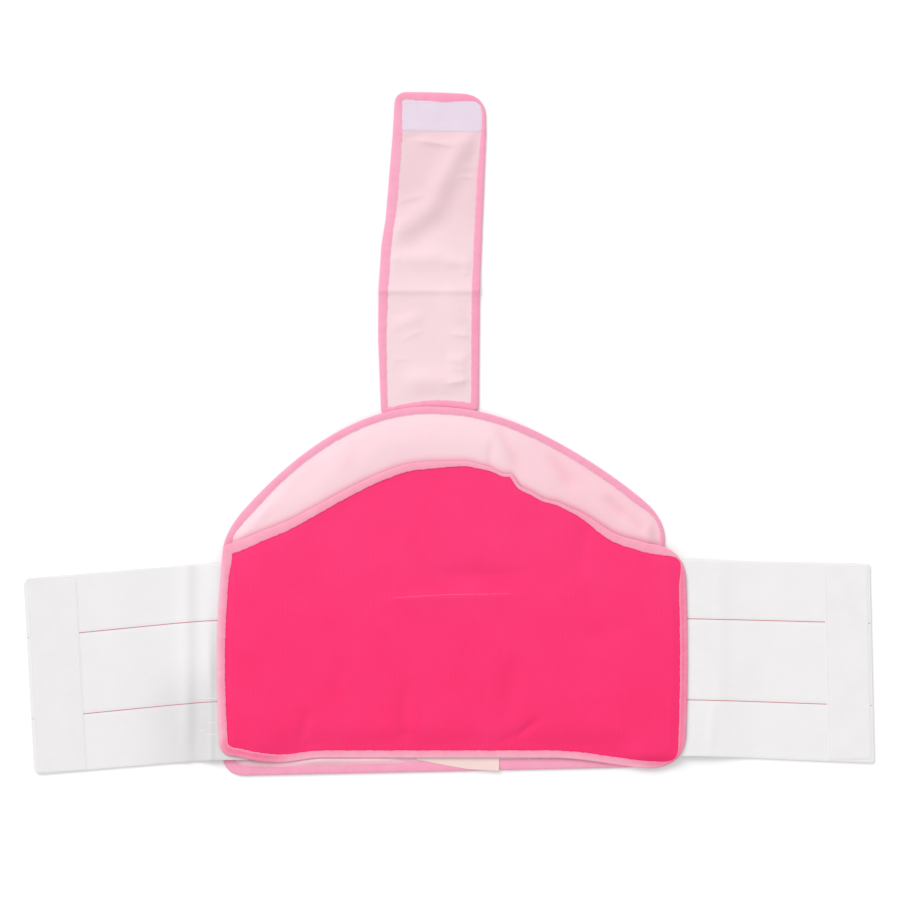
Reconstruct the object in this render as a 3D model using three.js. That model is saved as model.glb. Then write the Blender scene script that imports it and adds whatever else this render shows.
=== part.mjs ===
// A postpartum belly band, opened out and lying flat.
// Two bound cloth panels lie one on the other, elastic wings are sewn between their sides,
// and a bound strap is sewn under the arch of the back panel.
// Units are millimetres: +Z is up from the table, +X runs along the wings and +Y along the strap.
import * as THREE from "three";

const { lerp, smoothstep, clamp, degToRad } = THREE.MathUtils;

// Folded tape that binds the edges. The cloth edge is pressed flat inside it.
const TAPE_WIDTH = 9;
const TAPE_LEG = 1;
const TAPE_NOSE = 0.9;
const TAPE_MOUTH = 1.6;
const SEAM_GAP = 0.3;
const EDGE_HALF = 0.5;
const TAPE_HALF = EDGE_HALF + SEAM_GAP + TAPE_LEG;
const CLOTH_INSET = TAPE_MOUTH + SEAM_GAP;
const HEM_INSET = TAPE_WIDTH + 1.5;
const MITRE_RADIUS = 1;

// Back panel: an arch of two half parabolas that meet at the crest.
const BACK = {
  left: -227,
  right: 215,
  bottomLeft: -342,
  bottomRight: -333,
  crestX: -20,
  crestY: 29,
  archLeft: 0.003,
  archRight: 0.0021,
  thickness: 2,
  roll: 4.6,
};
const BACK_RADII = { bottomLeft: 24, bottomRight: 24, topRight: 20, topLeft: 20 };

// Front panel: a bell of two half cosine waves that meet at the crest.
const FRONT = {
  left: -230.5,
  right: 236.5,
  bottom: -324.5,
  crestX: 3,
  crestY: -22.5,
  runLeft: 262,
  dropLeft: 92,
  runRight: 225,
  dropRight: 90,
  bulgeLeft: 5,
  bulgeRight: 2.5,
  thickness: 3,
  sag: 1.6,
  sagFrom: 195,
  sagFull: 120,
};
const FRONT_RADII = { bottomLeft: 16, bottomRight: 28, topRight: 26, topLeft: 9 };
const FRONT_TOP_DIPS = [{ x: 86, depth: 5, reach: 36 }];
const FRONT_BOTTOM_DIPS = [
  { x: -172, depth: 5.5, reach: 42 },
  { x: 215, depth: 10.5, reach: 115 },
];

// Strap: sections from its sewn end to its free end.
const STRAP_SECTIONS = [
  { y: 20, middle: -20.3, half: 49.6 },
  { y: 95, middle: -20.7, half: 50.6 },
  { y: 145, middle: -20.2, half: 50.8 },
  { y: 215, middle: -15.8, half: 48.8 },
  { y: 300, middle: -10.2, half: 46.8 },
  { y: 342, middle: -9.6, half: 46 },
];
const STRAP = { thickness: 1.2, footTilt: 3, footBow: 3.5, topDrop: 3 };
const STRAP_LOOSE = { from: 36, to: 302, fade: 22 };
const STRAP_RADII = { bottomLeft: 8, bottomRight: 8, topRight: 15, topLeft: 10 };

// Wings: distances are measured out from the middle of the band.
// A wing lies on the table, climbs a ramp to its root, and bends down by fall past its bend.
const WING = { width: 196, thickness: 1.8, ramp: 46, bendEase: 20 };
const WING_SEAM = { fromMiddle: 40.5, depth: 0.4, half: 1.6 };
const WING_CREST = { at: 25, width: 10, rise: 1.5 };
const WINGS = [
  { side: "left", out: -1, y: -228.5, root: 212, lifted: 231, bend: 255, end: 420, fall: 0.084 },
  { side: "right", out: 1, y: -223.7, root: 201, lifted: 222, bend: 240, end: 423.3, fall: 0.0286 },
];
const WING_END_SLANT = { left: -0.056, right: -0.023 };
const WING_RADII = { root: 1, end: 9 };

// Hook tape and label.
const HOOK = { thickness: 1.2, inset: 1.5, corner: 4, cornerSteps: 2 };
const WING_HOOK_WIDTH = { left: 50, right: 46 };
const STRAP_HOOK = { x: -9.8, y: 316.5, width: 72, height: 27, corner: 3, turn: -0.035 };
const LABEL_THICKNESS = 1;
const LABEL = { left: -33, right: 49.5, top: -312, shallow: -325, knee: 18, low: -334.5, tip: -336 };

// Heights of the layers.
const STRAP_MID = TAPE_HALF;
const BACK_MID = TAPE_HALF;
const OVER_TAPE = 2 * TAPE_HALF + SEAM_GAP;
const FRONT_MID = OVER_TAPE + WING.thickness + SEAM_GAP + TAPE_HALF;

// The back panel climbs over the foot of the strap.
const FOOT_LIFT = { x: -20, flat: 60, ramp: 70, top: 8, bottom: -62, height: OVER_TAPE };

// Folds: a ridge (or a dent, where rise is negative) along a line through x, y.
const STRAP_FOLDS = [
  { x: -24, y: 254, angle: 50, reach: 58, width: 15, rise: 3.4 },
  { x: -22, y: 180, angle: 2, reach: 46, width: 14, rise: 1.8 },
  { x: -12, y: 62, angle: 8, reach: 44, width: 15, rise: 2.2 },
];
const STRAP_CREASE = { y: 146, width: 6, rise: 2.6 };
const BACK_FOLDS = [
  { x: 45, y: -12, angle: 82, reach: 24, width: 8, rise: -1.8 },
  { x: 66, y: -24, angle: -70, reach: 20, width: 8, rise: -1.8 },
  { x: 111, y: -37, angle: -54, reach: 22, width: 9, rise: -1.8 },
  { x: 171, y: -71, angle: -43, reach: 16, width: 9, rise: -1.4 },
];
const FRONT_FOLDS = [
  { x: 2, y: -161, angle: 1, reach: 66, width: 7, rise: 1.2 },
  { x: 25, y: -136, angle: 0, reach: 60, width: 13, rise: -1.1 },
  { x: 71, y: -300, angle: 36, reach: 26, width: 9, rise: -1.5 },
  { x: -45, y: -282, angle: 88, reach: 36, width: 13, rise: -0.9 },
  { x: 134, y: -115, angle: 88, reach: 34, width: 15, rise: -0.9 },
];

// Rows and columns of the cloth grids, as shares of a side, closer together at corners and folds.
const SIDE_STEPS = 24;
const BACK_COLUMNS = levels(18, 0.045);
const BACK_ROWS = [0, 0.03, 0.06, 0.25, 0.45, 0.62, 0.74, 0.82, 0.87, 0.91, 0.95, 0.975, 1];
const FRONT_COLUMNS = levels(19, 0.045);
const FRONT_ROWS = levels(10, 0.07);
const STRAP_COLUMNS = levels(4, 0.1);
const STRAP_ROWS = [0, 0.025, 0.05, 0.12, 0.2, 0.28, 0.47, 0.54, 0.61, 0.68, 0.75, 0.82, 0.89, 0.95, 0.98, 1];
const CREASE_OFFSETS = [-9, -5, 0, 5, 9];
const WING_ROWS = [0, 0.02, 0.5, 0.98, 1];
const WING_COLUMNS = [0, 0.02, 0.25, 0.5, 0.7, 0.76, 0.81, 0.86, 0.91, 0.95, 1];

const COLOURS = {
  cotton: 0xf8dcdf,
  tape: 0xf79fbf,
  frontTape: 0xf8aac4,
  loop: 0xf93c78,
  elastic: 0xeeecec,
  hook: 0xf0ecf2,
  label: 0xf3e6d6,
};

// Height of a row of folds at a point: a bell across each line that fades out towards its ends.
function foldHeight(folds, x, y) {
  let height = 0;
  for (const fold of folds) {
    const angle = degToRad(fold.angle);
    const dx = x - fold.x;
    const dy = y - fold.y;
    const along = (dx * Math.cos(angle) + dy * Math.sin(angle)) / fold.reach;
    const across = (dy * Math.cos(angle) - dx * Math.sin(angle)) / fold.width;
    height += fold.rise * Math.exp(-across * across - along ** 4);
  }
  return height;
}

// Value of one column of a table of sections at y, straight between its rows.
function sectionValue(sections, y, column) {
  const above = sections.findIndex((row) => row.y >= y);
  if (above === 0) return sections[0][column];
  if (above < 0) return sections.at(-1)[column];
  const low = sections[above - 1];
  const high = sections[above];
  return lerp(low[column], high[column], (y - low.y) / (high.y - low.y));
}

// Levels from 0 to 1 with two extra steps in each corner.
function levels(count, corner) {
  const inner = Array.from({ length: count + 1 }, (_, i) => lerp(corner, 1 - corner, i / count));
  return [0, corner / 2, ...inner, 1 - corner / 2, 1];
}

// One side of an outline with its half of the two rounded corners.
// before, side and after are functions of t, and radii are at the start and the end of the side.
function sidePath(before, side, after, startRadius, endRadius) {
  const length = side(0).distanceTo(side(1));
  const start = startRadius / length;
  const end = 1 - endRadius / length;
  const beforeEnd = before(1 - startRadius / before(0).distanceTo(before(1)));
  const afterStart = after(endRadius / after(0).distanceTo(after(1)));
  const firstMid = side(0).multiplyScalar(2).add(beforeEnd).add(side(start)).divideScalar(4);
  const lastMid = side(1).multiplyScalar(2).add(afterStart).add(side(end)).divideScalar(4);
  const firstControl = side(0).lerp(side(start), 0.5);
  const lastControl = side(1).lerp(side(end), 0.5);
  const along = Array.from({ length: SIDE_STEPS }, (_, i) => side(lerp(start, end, (i + 1) / SIDE_STEPS)));
  const path = new THREE.Path();
  path.moveTo(firstMid.x, firstMid.y);
  path.quadraticCurveTo(firstControl.x, firstControl.y, side(start).x, side(start).y);
  path.splineThru(along);
  path.quadraticCurveTo(lastControl.x, lastControl.y, lastMid.x, lastMid.y);
  return path;
}

// Closed anticlockwise loop round four sides, with the same levels on opposite sides.
function outlineLoop({ sides, radii }, across, along) {
  const { bottom, right, top, left } = sides;
  const { bottomLeft, bottomRight, topRight, topLeft } = radii;
  const paths = [
    { path: sidePath(left, bottom, right, bottomLeft, bottomRight), steps: across },
    { path: sidePath(bottom, right, top, bottomRight, topRight), steps: along },
    { path: sidePath(right, top, left, topRight, topLeft), steps: across.map((t) => 1 - t).reverse() },
    { path: sidePath(top, left, bottom, topLeft, bottomLeft), steps: along.map((t) => 1 - t).reverse() },
  ];
  return paths.flatMap(({ path, steps }) => steps.slice(0, -1).map((t) => path.getPointAt(t)));
}

// Direction of a side at t, in the sense that the outline is walked.
function heading(side, t) {
  const step = 1e-3;
  return side(Math.min(t + step, 1)).sub(side(Math.max(t - step, 0))).normalize();
}

// The outline moved inwards by a distance, with its sides shortened so that the corners stay mitred.
function insetOutline({ sides, radii }, distance) {
  const order = ["bottom", "right", "top", "left"];
  const corners = ["bottomLeft", "bottomRight", "topRight", "topLeft"];
  const trims = order.map((name, k) => {
    const before = heading(sides[order[(k + 3) % 4]], 1);
    const after = heading(sides[name], 0);
    const turn = Math.atan2(before.cross(after), before.dot(after));
    return distance * Math.tan(turn / 2);
  });
  const insetSides = {};
  const insetRadii = {};
  order.forEach((name, k) => {
    const side = sides[name];
    const length = side(0).distanceTo(side(1));
    const start = trims[k] / length;
    const end = 1 - trims[(k + 1) % 4] / length;
    insetSides[name] = (t) => {
      const at = lerp(start, end, t);
      const run = heading(side, at);
      return side(at).add(new THREE.Vector2(-run.y, run.x).multiplyScalar(distance));
    };
    insetRadii[corners[k]] = Math.max(radii[corners[k]] - distance, MITRE_RADIUS);
  });
  return { sides: insetSides, radii: insetRadii };
}

// Coons patch: a grid of points that blends the four sides of a loop.
function coonsGrid(loop, across, along) {
  const nu = across.length - 1;
  const nv = along.length - 1;
  const bottom = (i) => loop[i];
  const right = (j) => loop[nu + j];
  const top = (i) => loop[nu + nv + nu - i];
  const left = (j) => loop[(2 * nu + 2 * nv - j) % loop.length];
  return along.map((v, j) =>
    across.map((u, i) => {
      const blend = (axis) => {
        const sides = lerp(bottom(i)[axis], top(i)[axis], v) + lerp(left(j)[axis], right(j)[axis], u);
        const low = lerp(bottom(0)[axis], bottom(nu)[axis], u);
        const high = lerp(top(0)[axis], top(nu)[axis], u);
        return sides - lerp(low, high, v);
      };
      return new THREE.Vector2(blend("x"), blend("y"));
    }),
  );
}

// Collects shared vertices and triangles of one closed solid.
class Facets {
  positions = [];
  triangles = [];

  vertex(point, z) {
    this.positions.push(point.x, point.y, z);
    return this.positions.length / 3 - 1;
  }

  raise(number, z) {
    this.positions[3 * number + 2] = z;
  }

  quad(a, b, c, d) {
    this.triangles.push(a, b, c, a, c, d);
  }

  geometry() {
    const geometry = new THREE.BufferGeometry();
    geometry.setAttribute("position", new THREE.Float32BufferAttribute(this.positions, 3));
    geometry.setIndex(this.triangles);
    geometry.computeVertexNormals();
    return geometry;
  }
}

// Perimeter of a grid of vertex numbers, anticlockwise from its first corner.
function perimeter(rows) {
  const last = rows.length - 1;
  const end = rows[0].length - 1;
  return [
    ...rows[0].slice(0, end),
    ...rows.slice(0, last).map((row) => row[end]),
    ...rows[last].slice(1).reverse(),
    ...rows.slice(1).map((row) => row[0]).reverse(),
  ];
}

// Closed sheet of cloth: a field inside a loop, and a flat hem ring outside it where the cloth is bound.
// height(point) gives the middle and the half thickness of the field, and rim those of its border points.
function clothSheet({ field, hem, across, along, height, rim }) {
  const facets = new Facets();
  const grid = coonsGrid(field, across, along);
  const borders = [];
  for (const sign of [1, -1]) {
    const face = (...square) => facets.quad(...(sign > 0 ? square : square.reverse()));
    const level = ({ mid, half }) => mid + sign * half;
    const rows = grid.map((row) => row.map((point) => facets.vertex(point, level(height(point)))));
    for (let j = 0; j + 1 < along.length; j++) {
      for (let i = 0; i + 1 < across.length; i++) {
        face(rows[j][i], rows[j][i + 1], rows[j + 1][i + 1], rows[j + 1][i]);
      }
    }
    let border = perimeter(rows);
    if (hem) {
      border.forEach((number, k) => facets.raise(number, level(rim[k])));
      const ring = hem.map((point, k) => facets.vertex(point, level(rim[k])));
      ring.forEach((_, k) => {
        const next = (k + 1) % ring.length;
        face(border[k], ring[k], ring[next], border[next]);
      });
      border = ring;
    }
    borders.push(border);
  }
  const [upper, lower] = borders;
  upper.forEach((_, k) => {
    const next = (k + 1) % upper.length;
    facets.quad(upper[k], lower[k], lower[next], upper[next]);
  });
  return facets.geometry();
}

// Tape folded over an edge: a C section carried round the outline at the height of the cloth edge.
function foldedTape(insetLoop, rim) {
  const inner = EDGE_HALF + SEAM_GAP;
  const section = [
    { inset: TAPE_WIDTH, rise: TAPE_HALF },
    { inset: TAPE_WIDTH, rise: inner },
    { inset: TAPE_MOUTH, rise: inner },
    { inset: TAPE_MOUTH, rise: -inner },
    { inset: TAPE_WIDTH, rise: -inner },
    { inset: TAPE_WIDTH, rise: -TAPE_HALF },
    { inset: TAPE_NOSE, rise: -TAPE_HALF },
    { inset: 0, rise: -inner },
    { inset: 0, rise: inner },
    { inset: TAPE_NOSE, rise: TAPE_HALF },
  ];
  const facets = new Facets();
  const rings = section.map(({ inset, rise }) =>
    insetLoop(inset).map((point, k) => facets.vertex(point, rim[k].mid + rise)),
  );
  rings.forEach((ring, row) => {
    const following = rings[(row + 1) % rings.length];
    ring.forEach((_, k) => {
      const next = (k + 1) % ring.length;
      facets.quad(ring[k], ring[next], following[next], following[k]);
    });
  });
  return facets.geometry();
}

// Bound cloth: the sheet and the tape round it, from one outline.
function boundCloth({ outline, across, along, height, edge }) {
  const insetLoop = (distance) => outlineLoop(insetOutline(outline, distance), across, along);
  const rim = insetLoop(0).map(edge);
  const field = insetLoop(HEM_INSET);
  const hem = insetLoop(CLOTH_INSET);
  return { sheet: clothSheet({ field, hem, across, along, height, rim }), tape: foldedTape(insetLoop, rim) };
}

// Depth at x of the dips in an edge, each a half wave that starts and ends level.
function dipDepth(dips, x) {
  const share = (dip) => Math.min(Math.abs(x - dip.x) / dip.reach, 1);
  return dips.reduce((sum, dip) => sum + dip.depth * Math.cos((Math.PI / 2) * share(dip)) ** 2, 0);
}

// Upper edge of the back panel.
function archY(x) {
  const away = x - BACK.crestX;
  return BACK.crestY - (away < 0 ? BACK.archLeft : BACK.archRight) * away * away;
}

// Upper edge of the front panel.
function bellY(x) {
  const away = x - FRONT.crestX;
  const run = away < 0 ? FRONT.runLeft : FRONT.runRight;
  const drop = away < 0 ? FRONT.dropLeft : FRONT.dropRight;
  const bell = (drop * (1 - Math.cos(Math.PI * Math.min(Math.abs(away) / run, 1)))) / 2;
  return FRONT.crestY - bell - dipDepth(FRONT_TOP_DIPS, x);
}

// Lower edge of the front panel.
function frontBottomY(x) {
  return FRONT.bottom - dipDepth(FRONT_BOTTOM_DIPS, x);
}

// How far the back panel is lifted by the foot of the strap under it.
function footLift(x, y) {
  const beside = 1 - smoothstep(Math.abs(x - FOOT_LIFT.x), FOOT_LIFT.flat, FOOT_LIFT.flat + FOOT_LIFT.ramp);
  return FOOT_LIFT.height * beside * smoothstep(y, FOOT_LIFT.bottom, FOOT_LIFT.top);
}

function backPanel() {
  const bottomY = (t) => lerp(BACK.bottomLeft, BACK.bottomRight, t);
  const sides = {
    bottom: (t) => new THREE.Vector2(lerp(BACK.left, BACK.right, t), bottomY(t)),
    right: (t) => new THREE.Vector2(BACK.right, lerp(bottomY(1), archY(BACK.right), t)),
    top: (t) => {
      const x = lerp(BACK.right, BACK.left, t);
      return new THREE.Vector2(x, archY(x));
    },
    left: (t) => new THREE.Vector2(BACK.left, lerp(archY(BACK.left), bottomY(0), t)),
  };
  const half = BACK.thickness / 2;
  const height = ({ x, y }) => {
    const share = clamp((y - bellY(x)) / (archY(x) - bellY(x)), 0, 1);
    const roll = Math.sin(Math.PI * share) ** 2;
    const lift = footLift(x, y) + roll * (BACK.roll + foldHeight(BACK_FOLDS, x, y));
    return { mid: half + lift, half };
  };
  const edge = ({ x, y }) => ({ mid: BACK_MID + footLift(x, y), half: EDGE_HALF });
  const outline = { sides, radii: BACK_RADII };
  return boundCloth({ outline, across: BACK_COLUMNS, along: BACK_ROWS, height, edge });
}

function frontPanel() {
  const bow = (t) => Math.sin(Math.PI * t);
  const sides = {
    bottom: (t) => {
      const x = lerp(FRONT.left, FRONT.right, t);
      return new THREE.Vector2(x, frontBottomY(x));
    },
    right: (t) => {
      const y = lerp(frontBottomY(FRONT.right), bellY(FRONT.right), t);
      return new THREE.Vector2(FRONT.right + FRONT.bulgeRight * bow(t), y);
    },
    top: (t) => {
      const x = lerp(FRONT.right, FRONT.left, t);
      return new THREE.Vector2(x, bellY(x));
    },
    left: (t) => {
      const y = lerp(bellY(FRONT.left), frontBottomY(FRONT.left), t);
      return new THREE.Vector2(FRONT.left - FRONT.bulgeLeft * bow(t), y);
    },
  };
  const half = FRONT.thickness / 2;
  const height = ({ x, y }) => {
    const sag = FRONT.sag * (1 - smoothstep(Math.abs(x), FRONT.sagFull, FRONT.sagFrom));
    return { mid: FRONT_MID - sag + foldHeight(FRONT_FOLDS, x, y), half };
  };
  const edge = () => ({ mid: FRONT_MID, half: EDGE_HALF });
  const outline = { sides, radii: FRONT_RADII };
  return boundCloth({ outline, across: FRONT_COLUMNS, along: FRONT_ROWS, height, edge });
}

function strapCloth() {
  const foot = STRAP_SECTIONS[0];
  const tip = STRAP_SECTIONS.at(-1);
  const sideX = (y, sign) =>
    sectionValue(STRAP_SECTIONS, y, "middle") + sign * sectionValue(STRAP_SECTIONS, y, "half");
  const footY = (t) => foot.y + STRAP.footTilt * (2 * t - 1) + STRAP.footBow * Math.sin(Math.PI * t);
  const tipY = (t) => tip.y - STRAP.topDrop * t * t;
  const sides = {
    bottom: (t) => new THREE.Vector2(foot.middle + foot.half * (2 * t - 1), footY(t)),
    right: (t) => {
      const y = lerp(footY(1), tipY(1), t);
      return new THREE.Vector2(sideX(y, 1), y);
    },
    top: (t) => new THREE.Vector2(tip.middle + tip.half * (1 - 2 * t), tipY(1 - t)),
    left: (t) => {
      const y = lerp(tipY(0), footY(0), t);
      return new THREE.Vector2(sideX(y, -1), y);
    },
  };
  const crease = (y) => STRAP_CREASE.rise * Math.exp(-(((y - STRAP_CREASE.y) / STRAP_CREASE.width) ** 2));
  const half = STRAP.thickness / 2;
  const { from, to, fade } = STRAP_LOOSE;
  const loose = (y) => smoothstep(y, from, from + fade) * (1 - smoothstep(y, to - fade, to));
  const height = ({ x, y }) => {
    const folds = loose(y) * foldHeight(STRAP_FOLDS, x, y);
    return { mid: STRAP_MID + crease(y) + folds, half };
  };
  const edge = ({ y }) => ({ mid: STRAP_MID + crease(y), half: EDGE_HALF });
  const shareOf = (y) => (y - foot.y) / (tip.y - foot.y);
  const creaseRows = CREASE_OFFSETS.map((offset) => shareOf(STRAP_CREASE.y + offset));
  const along = [...STRAP_ROWS, ...creaseRows].sort((a, b) => a - b);
  const outline = { sides, radii: STRAP_RADII };
  return boundCloth({ outline, across: STRAP_COLUMNS, along, height, edge });
}

// Middle line of a wing at a distance out, and the direction in which it is crossed there.
function wingAxis(wing, reach) {
  const past = reach - wing.bend;
  const eased = Math.hypot(past, WING.bendEase);
  const bent = (1 + past / eased) / 2;
  const point = new THREE.Vector2(wing.out * reach, wing.y - (wing.fall * (past + eased)) / 2);
  return { point, cross: new THREE.Vector2(WING_END_SLANT[wing.side] * bent, 1) };
}

function wingCloth(wing) {
  const at = (reach, share) => {
    const { point, cross } = wingAxis(wing, reach);
    return point.addScaledVector(cross, (share * WING.width) / 2);
  };
  const reachOf = wing.out > 0 ? (t) => lerp(wing.root, wing.end, t) : (t) => lerp(wing.end, wing.root, t);
  const sides = {
    bottom: (t) => at(reachOf(t), -1),
    right: (t) => at(reachOf(1), 2 * t - 1),
    top: (t) => at(reachOf(1 - t), 1),
    left: (t) => at(reachOf(0), 1 - 2 * t),
  };
  const { root, end } = WING_RADII;
  const radii =
    wing.out > 0
      ? { bottomLeft: root, bottomRight: end, topRight: end, topLeft: root }
      : { bottomLeft: end, bottomRight: root, topRight: root, topLeft: end };
  const seams = [-1, 1].map((sign) => 0.5 + (sign * WING_SEAM.fromMiddle) / WING.width);
  const beside = WING_SEAM.half / WING.width;
  const seamRows = seams.flatMap((seam) => [seam - beside, seam, seam + beside]);
  const along = [...WING_ROWS, ...seamRows].sort((a, b) => a - b);
  const across = wing.out > 0 ? WING_COLUMNS.map((t) => 1 - t).reverse() : WING_COLUMNS;
  const half = WING.thickness / 2;
  const height = ({ x, y }) => {
    const out = wing.out * x;
    const past = out - wing.lifted;
    const ramp = 1 - smoothstep(past, 0, WING.ramp);
    const crest = WING_CREST.rise * Math.exp(-(((past - WING_CREST.at) / WING_CREST.width) ** 2));
    const fromMiddle = Math.abs(y - wingAxis(wing, out).point.y);
    const onSeam = Math.abs(fromMiddle - WING_SEAM.fromMiddle) < WING_SEAM.half / 2;
    const groove = onSeam ? WING_SEAM.depth / 2 : 0;
    return { mid: half + OVER_TAPE * ramp + crest - groove, half: half - groove };
  };
  const field = outlineLoop({ sides, radii }, across, along);
  return clothSheet({ field, across, along, height });
}

// Flat strip with rounded corners, centred on its own origin and standing up from it.
function flatStrip(width, height, corner, thickness) {
  const shape = new THREE.Shape();
  const x = width / 2 - corner;
  const y = height / 2 - corner;
  shape.absarc(x, -y, corner, -Math.PI / 2, 0, false);
  shape.absarc(x, y, corner, 0, Math.PI / 2, false);
  shape.absarc(-x, y, corner, Math.PI / 2, Math.PI, false);
  shape.absarc(-x, -y, corner, Math.PI, 1.5 * Math.PI, false);
  const curveSegments = HOOK.cornerSteps;
  return new THREE.ExtrudeGeometry(shape, { depth: thickness, bevelEnabled: false, curveSegments });
}

function careLabel() {
  const shape = new THREE.Shape();
  shape.moveTo(LABEL.left, LABEL.top);
  shape.lineTo(LABEL.left, LABEL.shallow);
  shape.lineTo(LABEL.knee, LABEL.low);
  shape.lineTo(LABEL.right, LABEL.tip);
  shape.lineTo(LABEL.right, LABEL.top);
  return new THREE.ExtrudeGeometry(shape, { depth: LABEL_THICKNESS, bevelEnabled: false });
}

const band = new THREE.Group();
band.name = "belly_band";

function addPiece(name, geometry, color, roughness) {
  const mesh = new THREE.Mesh(geometry, new THREE.MeshStandardMaterial({ color, roughness }));
  mesh.name = name;
  band.add(mesh);
  return mesh;
}

const strap = strapCloth();
addPiece("strap", strap.sheet, COLOURS.cotton, 0.9);
addPiece("strap_binding", strap.tape, COLOURS.tape, 0.75);
const strapHook = flatStrip(STRAP_HOOK.width, STRAP_HOOK.height, STRAP_HOOK.corner, HOOK.thickness);
const strapTop = STRAP_MID + STRAP.thickness / 2;
const strapPatch = addPiece("strap_hook_patch", strapHook, COLOURS.hook, 0.8);
strapPatch.position.set(STRAP_HOOK.x, STRAP_HOOK.y, strapTop + SEAM_GAP);
strapPatch.rotation.z = STRAP_HOOK.turn;

const back = backPanel();
addPiece("back_panel", back.sheet, COLOURS.cotton, 0.9);
addPiece("back_binding", back.tape, COLOURS.tape, 0.75);

for (const wing of WINGS) {
  addPiece(`${wing.side}_wing`, wingCloth(wing), COLOURS.elastic, 0.85);
  const width = WING_HOOK_WIDTH[wing.side];
  const { point } = wingAxis(wing, wing.end - HOOK.inset - width / 2);
  const strip = flatStrip(width, WING.width - 2 * HOOK.inset, HOOK.corner, HOOK.thickness);
  const patch = addPiece(`${wing.side}_hook_patch`, strip, COLOURS.hook, 0.8);
  patch.position.set(point.x, point.y, WING.thickness + SEAM_GAP);
  patch.rotation.z = -Math.atan(WING_END_SLANT[wing.side]);
}

addPiece("care_label", careLabel(), COLOURS.label, 0.7).position.z = OVER_TAPE;

const front = frontPanel();
addPiece("front_panel", front.sheet, COLOURS.loop, 0.95);
addPiece("front_binding", front.tape, COLOURS.frontTape, 0.75);

export default band;
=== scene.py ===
# %% [markdown]
# A postpartum belly band, opened out and lying flat on a table: two bound cloth panels, one on
# the other, two elastic wings sewn between their sides, and a bound strap sewn under the arch.
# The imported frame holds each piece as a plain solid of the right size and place. This lesson
# gives every solid a fine skin, worked out with numpy, and every skin the finish of its cloth.
# Lengths are written in millimetres, as on a cutting pattern, and become metres in the meshes.

# %% Load the frame
from collections import namedtuple

import bpy
import numpy as np
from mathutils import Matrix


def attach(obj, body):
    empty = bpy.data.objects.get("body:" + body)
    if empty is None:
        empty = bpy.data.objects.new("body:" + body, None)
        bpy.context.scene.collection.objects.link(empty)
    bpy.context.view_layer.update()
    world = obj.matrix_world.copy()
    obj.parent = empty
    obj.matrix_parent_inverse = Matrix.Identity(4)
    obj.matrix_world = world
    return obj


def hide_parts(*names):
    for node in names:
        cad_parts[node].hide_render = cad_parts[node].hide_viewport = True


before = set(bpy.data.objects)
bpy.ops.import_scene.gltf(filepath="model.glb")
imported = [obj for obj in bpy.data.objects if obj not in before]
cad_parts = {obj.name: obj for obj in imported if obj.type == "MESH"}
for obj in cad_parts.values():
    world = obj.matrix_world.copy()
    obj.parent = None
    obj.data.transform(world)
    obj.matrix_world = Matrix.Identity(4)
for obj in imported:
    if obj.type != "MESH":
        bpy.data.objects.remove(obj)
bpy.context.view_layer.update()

MM = 0.001
print("solids to dress:", ", ".join(sorted(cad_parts)))

# %% [markdown]
# Cloth never lies dead flat. A fold is a long soft ridge, a dent is the same with a negative
# rise, and a crease is a fold with a sharp top. A cloth simulation would make folds too, but in
# places of its own. A short table of ridges, added up as a height above the table top, puts each
# fold where it lies on the real band, and anyone can read it and change it.

# %% Folds and creases
Fold = namedtuple("Fold", "x y angle reach width rise lee", defaults=[None])
CREST_ROUND = 0.35


def soft_step(value, low, high):
    """0 up to low, 1 from high on, and 3 t squared minus 2 t cubed of the share t between."""
    t = np.clip((value - low) / (high - low), 0, 1)
    return t * t * (3 - 2 * t)


def fold_height(folds, x, y, sharp=False):
    """Sum over the folds of rise times exp(-c - along^4), where along is counted in reaches and
    c is across squared in widths, or across itself, just rounded at the top, for a sharp crease.
    A lee is a width of its own for the right-hand side of a fold."""
    height = np.zeros(np.broadcast(x, y).shape)
    for fold in folds:
        turn = np.radians(fold.angle)
        along = ((x - fold.x) * np.cos(turn) + (y - fold.y) * np.sin(turn)) / fold.reach
        across = (y - fold.y) * np.cos(turn) - (x - fold.x) * np.sin(turn)
        across = across / np.where(across < 0, fold.lee or fold.width, fold.width)
        drop = np.hypot(across, CREST_ROUND) - CREST_ROUND if sharp else across**2
        height += fold.rise * np.exp(-drop - along**4)
    return height


print("height at the top of a 2 mm fold:", fold_height([Fold(0, 0, 30, 20, 5, 2)], 0, 0))

# %% [markdown]
# A sewn edge is never quite even either: the thread draws the cloth into small gathers. Random
# noise would do, but a few sine waves whose lengths share no common factor look as uneven, are
# the same in each run and can be given a true length. A slower mix of waves bends a whole cloth.

# %% Gathers and slow bends
Wave = namedtuple("Wave", "length phase")
GATHER_WAVES = [Wave(6.1, 0.3), Wave(9.7, 1.9), Wave(15.3, 4.2), Wave(37.0, 2.6)]
BEND_WAVES = [Wave(71, 0.8), Wave(113, 2.9), Wave(167, 5.1)]


def gather(along):
    """Mean of the gather waves at a distance along a seam, between -1 and 1."""
    return np.mean([np.sin(2 * np.pi * along / w.length + w.phase) for w in GATHER_WAVES], axis=0)


def slow_bend(x, y):
    """Mean of long waves in x times waves in y, for cloth that was folded in a packet before."""
    waves = [
        np.sin(2 * np.pi * x / w.length + w.phase) * np.cos(2 * np.pi * y / w.length - w.phase)
        for w in BEND_WAVES
    ]
    return np.mean(waves, axis=0)


seam_sample = gather(np.arange(0, 1500, 1.5))
print("gathers stay between", seam_sample.min().round(2), "and", seam_sample.max().round(2))

# %% [markdown]
# Each cloth is cut to an outline of four sides that meet in rounded corners, and its binding
# follows the same outline. A curve object could draw it, but a side that is a function of t,
# from 0 to 1, gives a loop of points at any spacing, with the same spacing on opposite sides.

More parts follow.
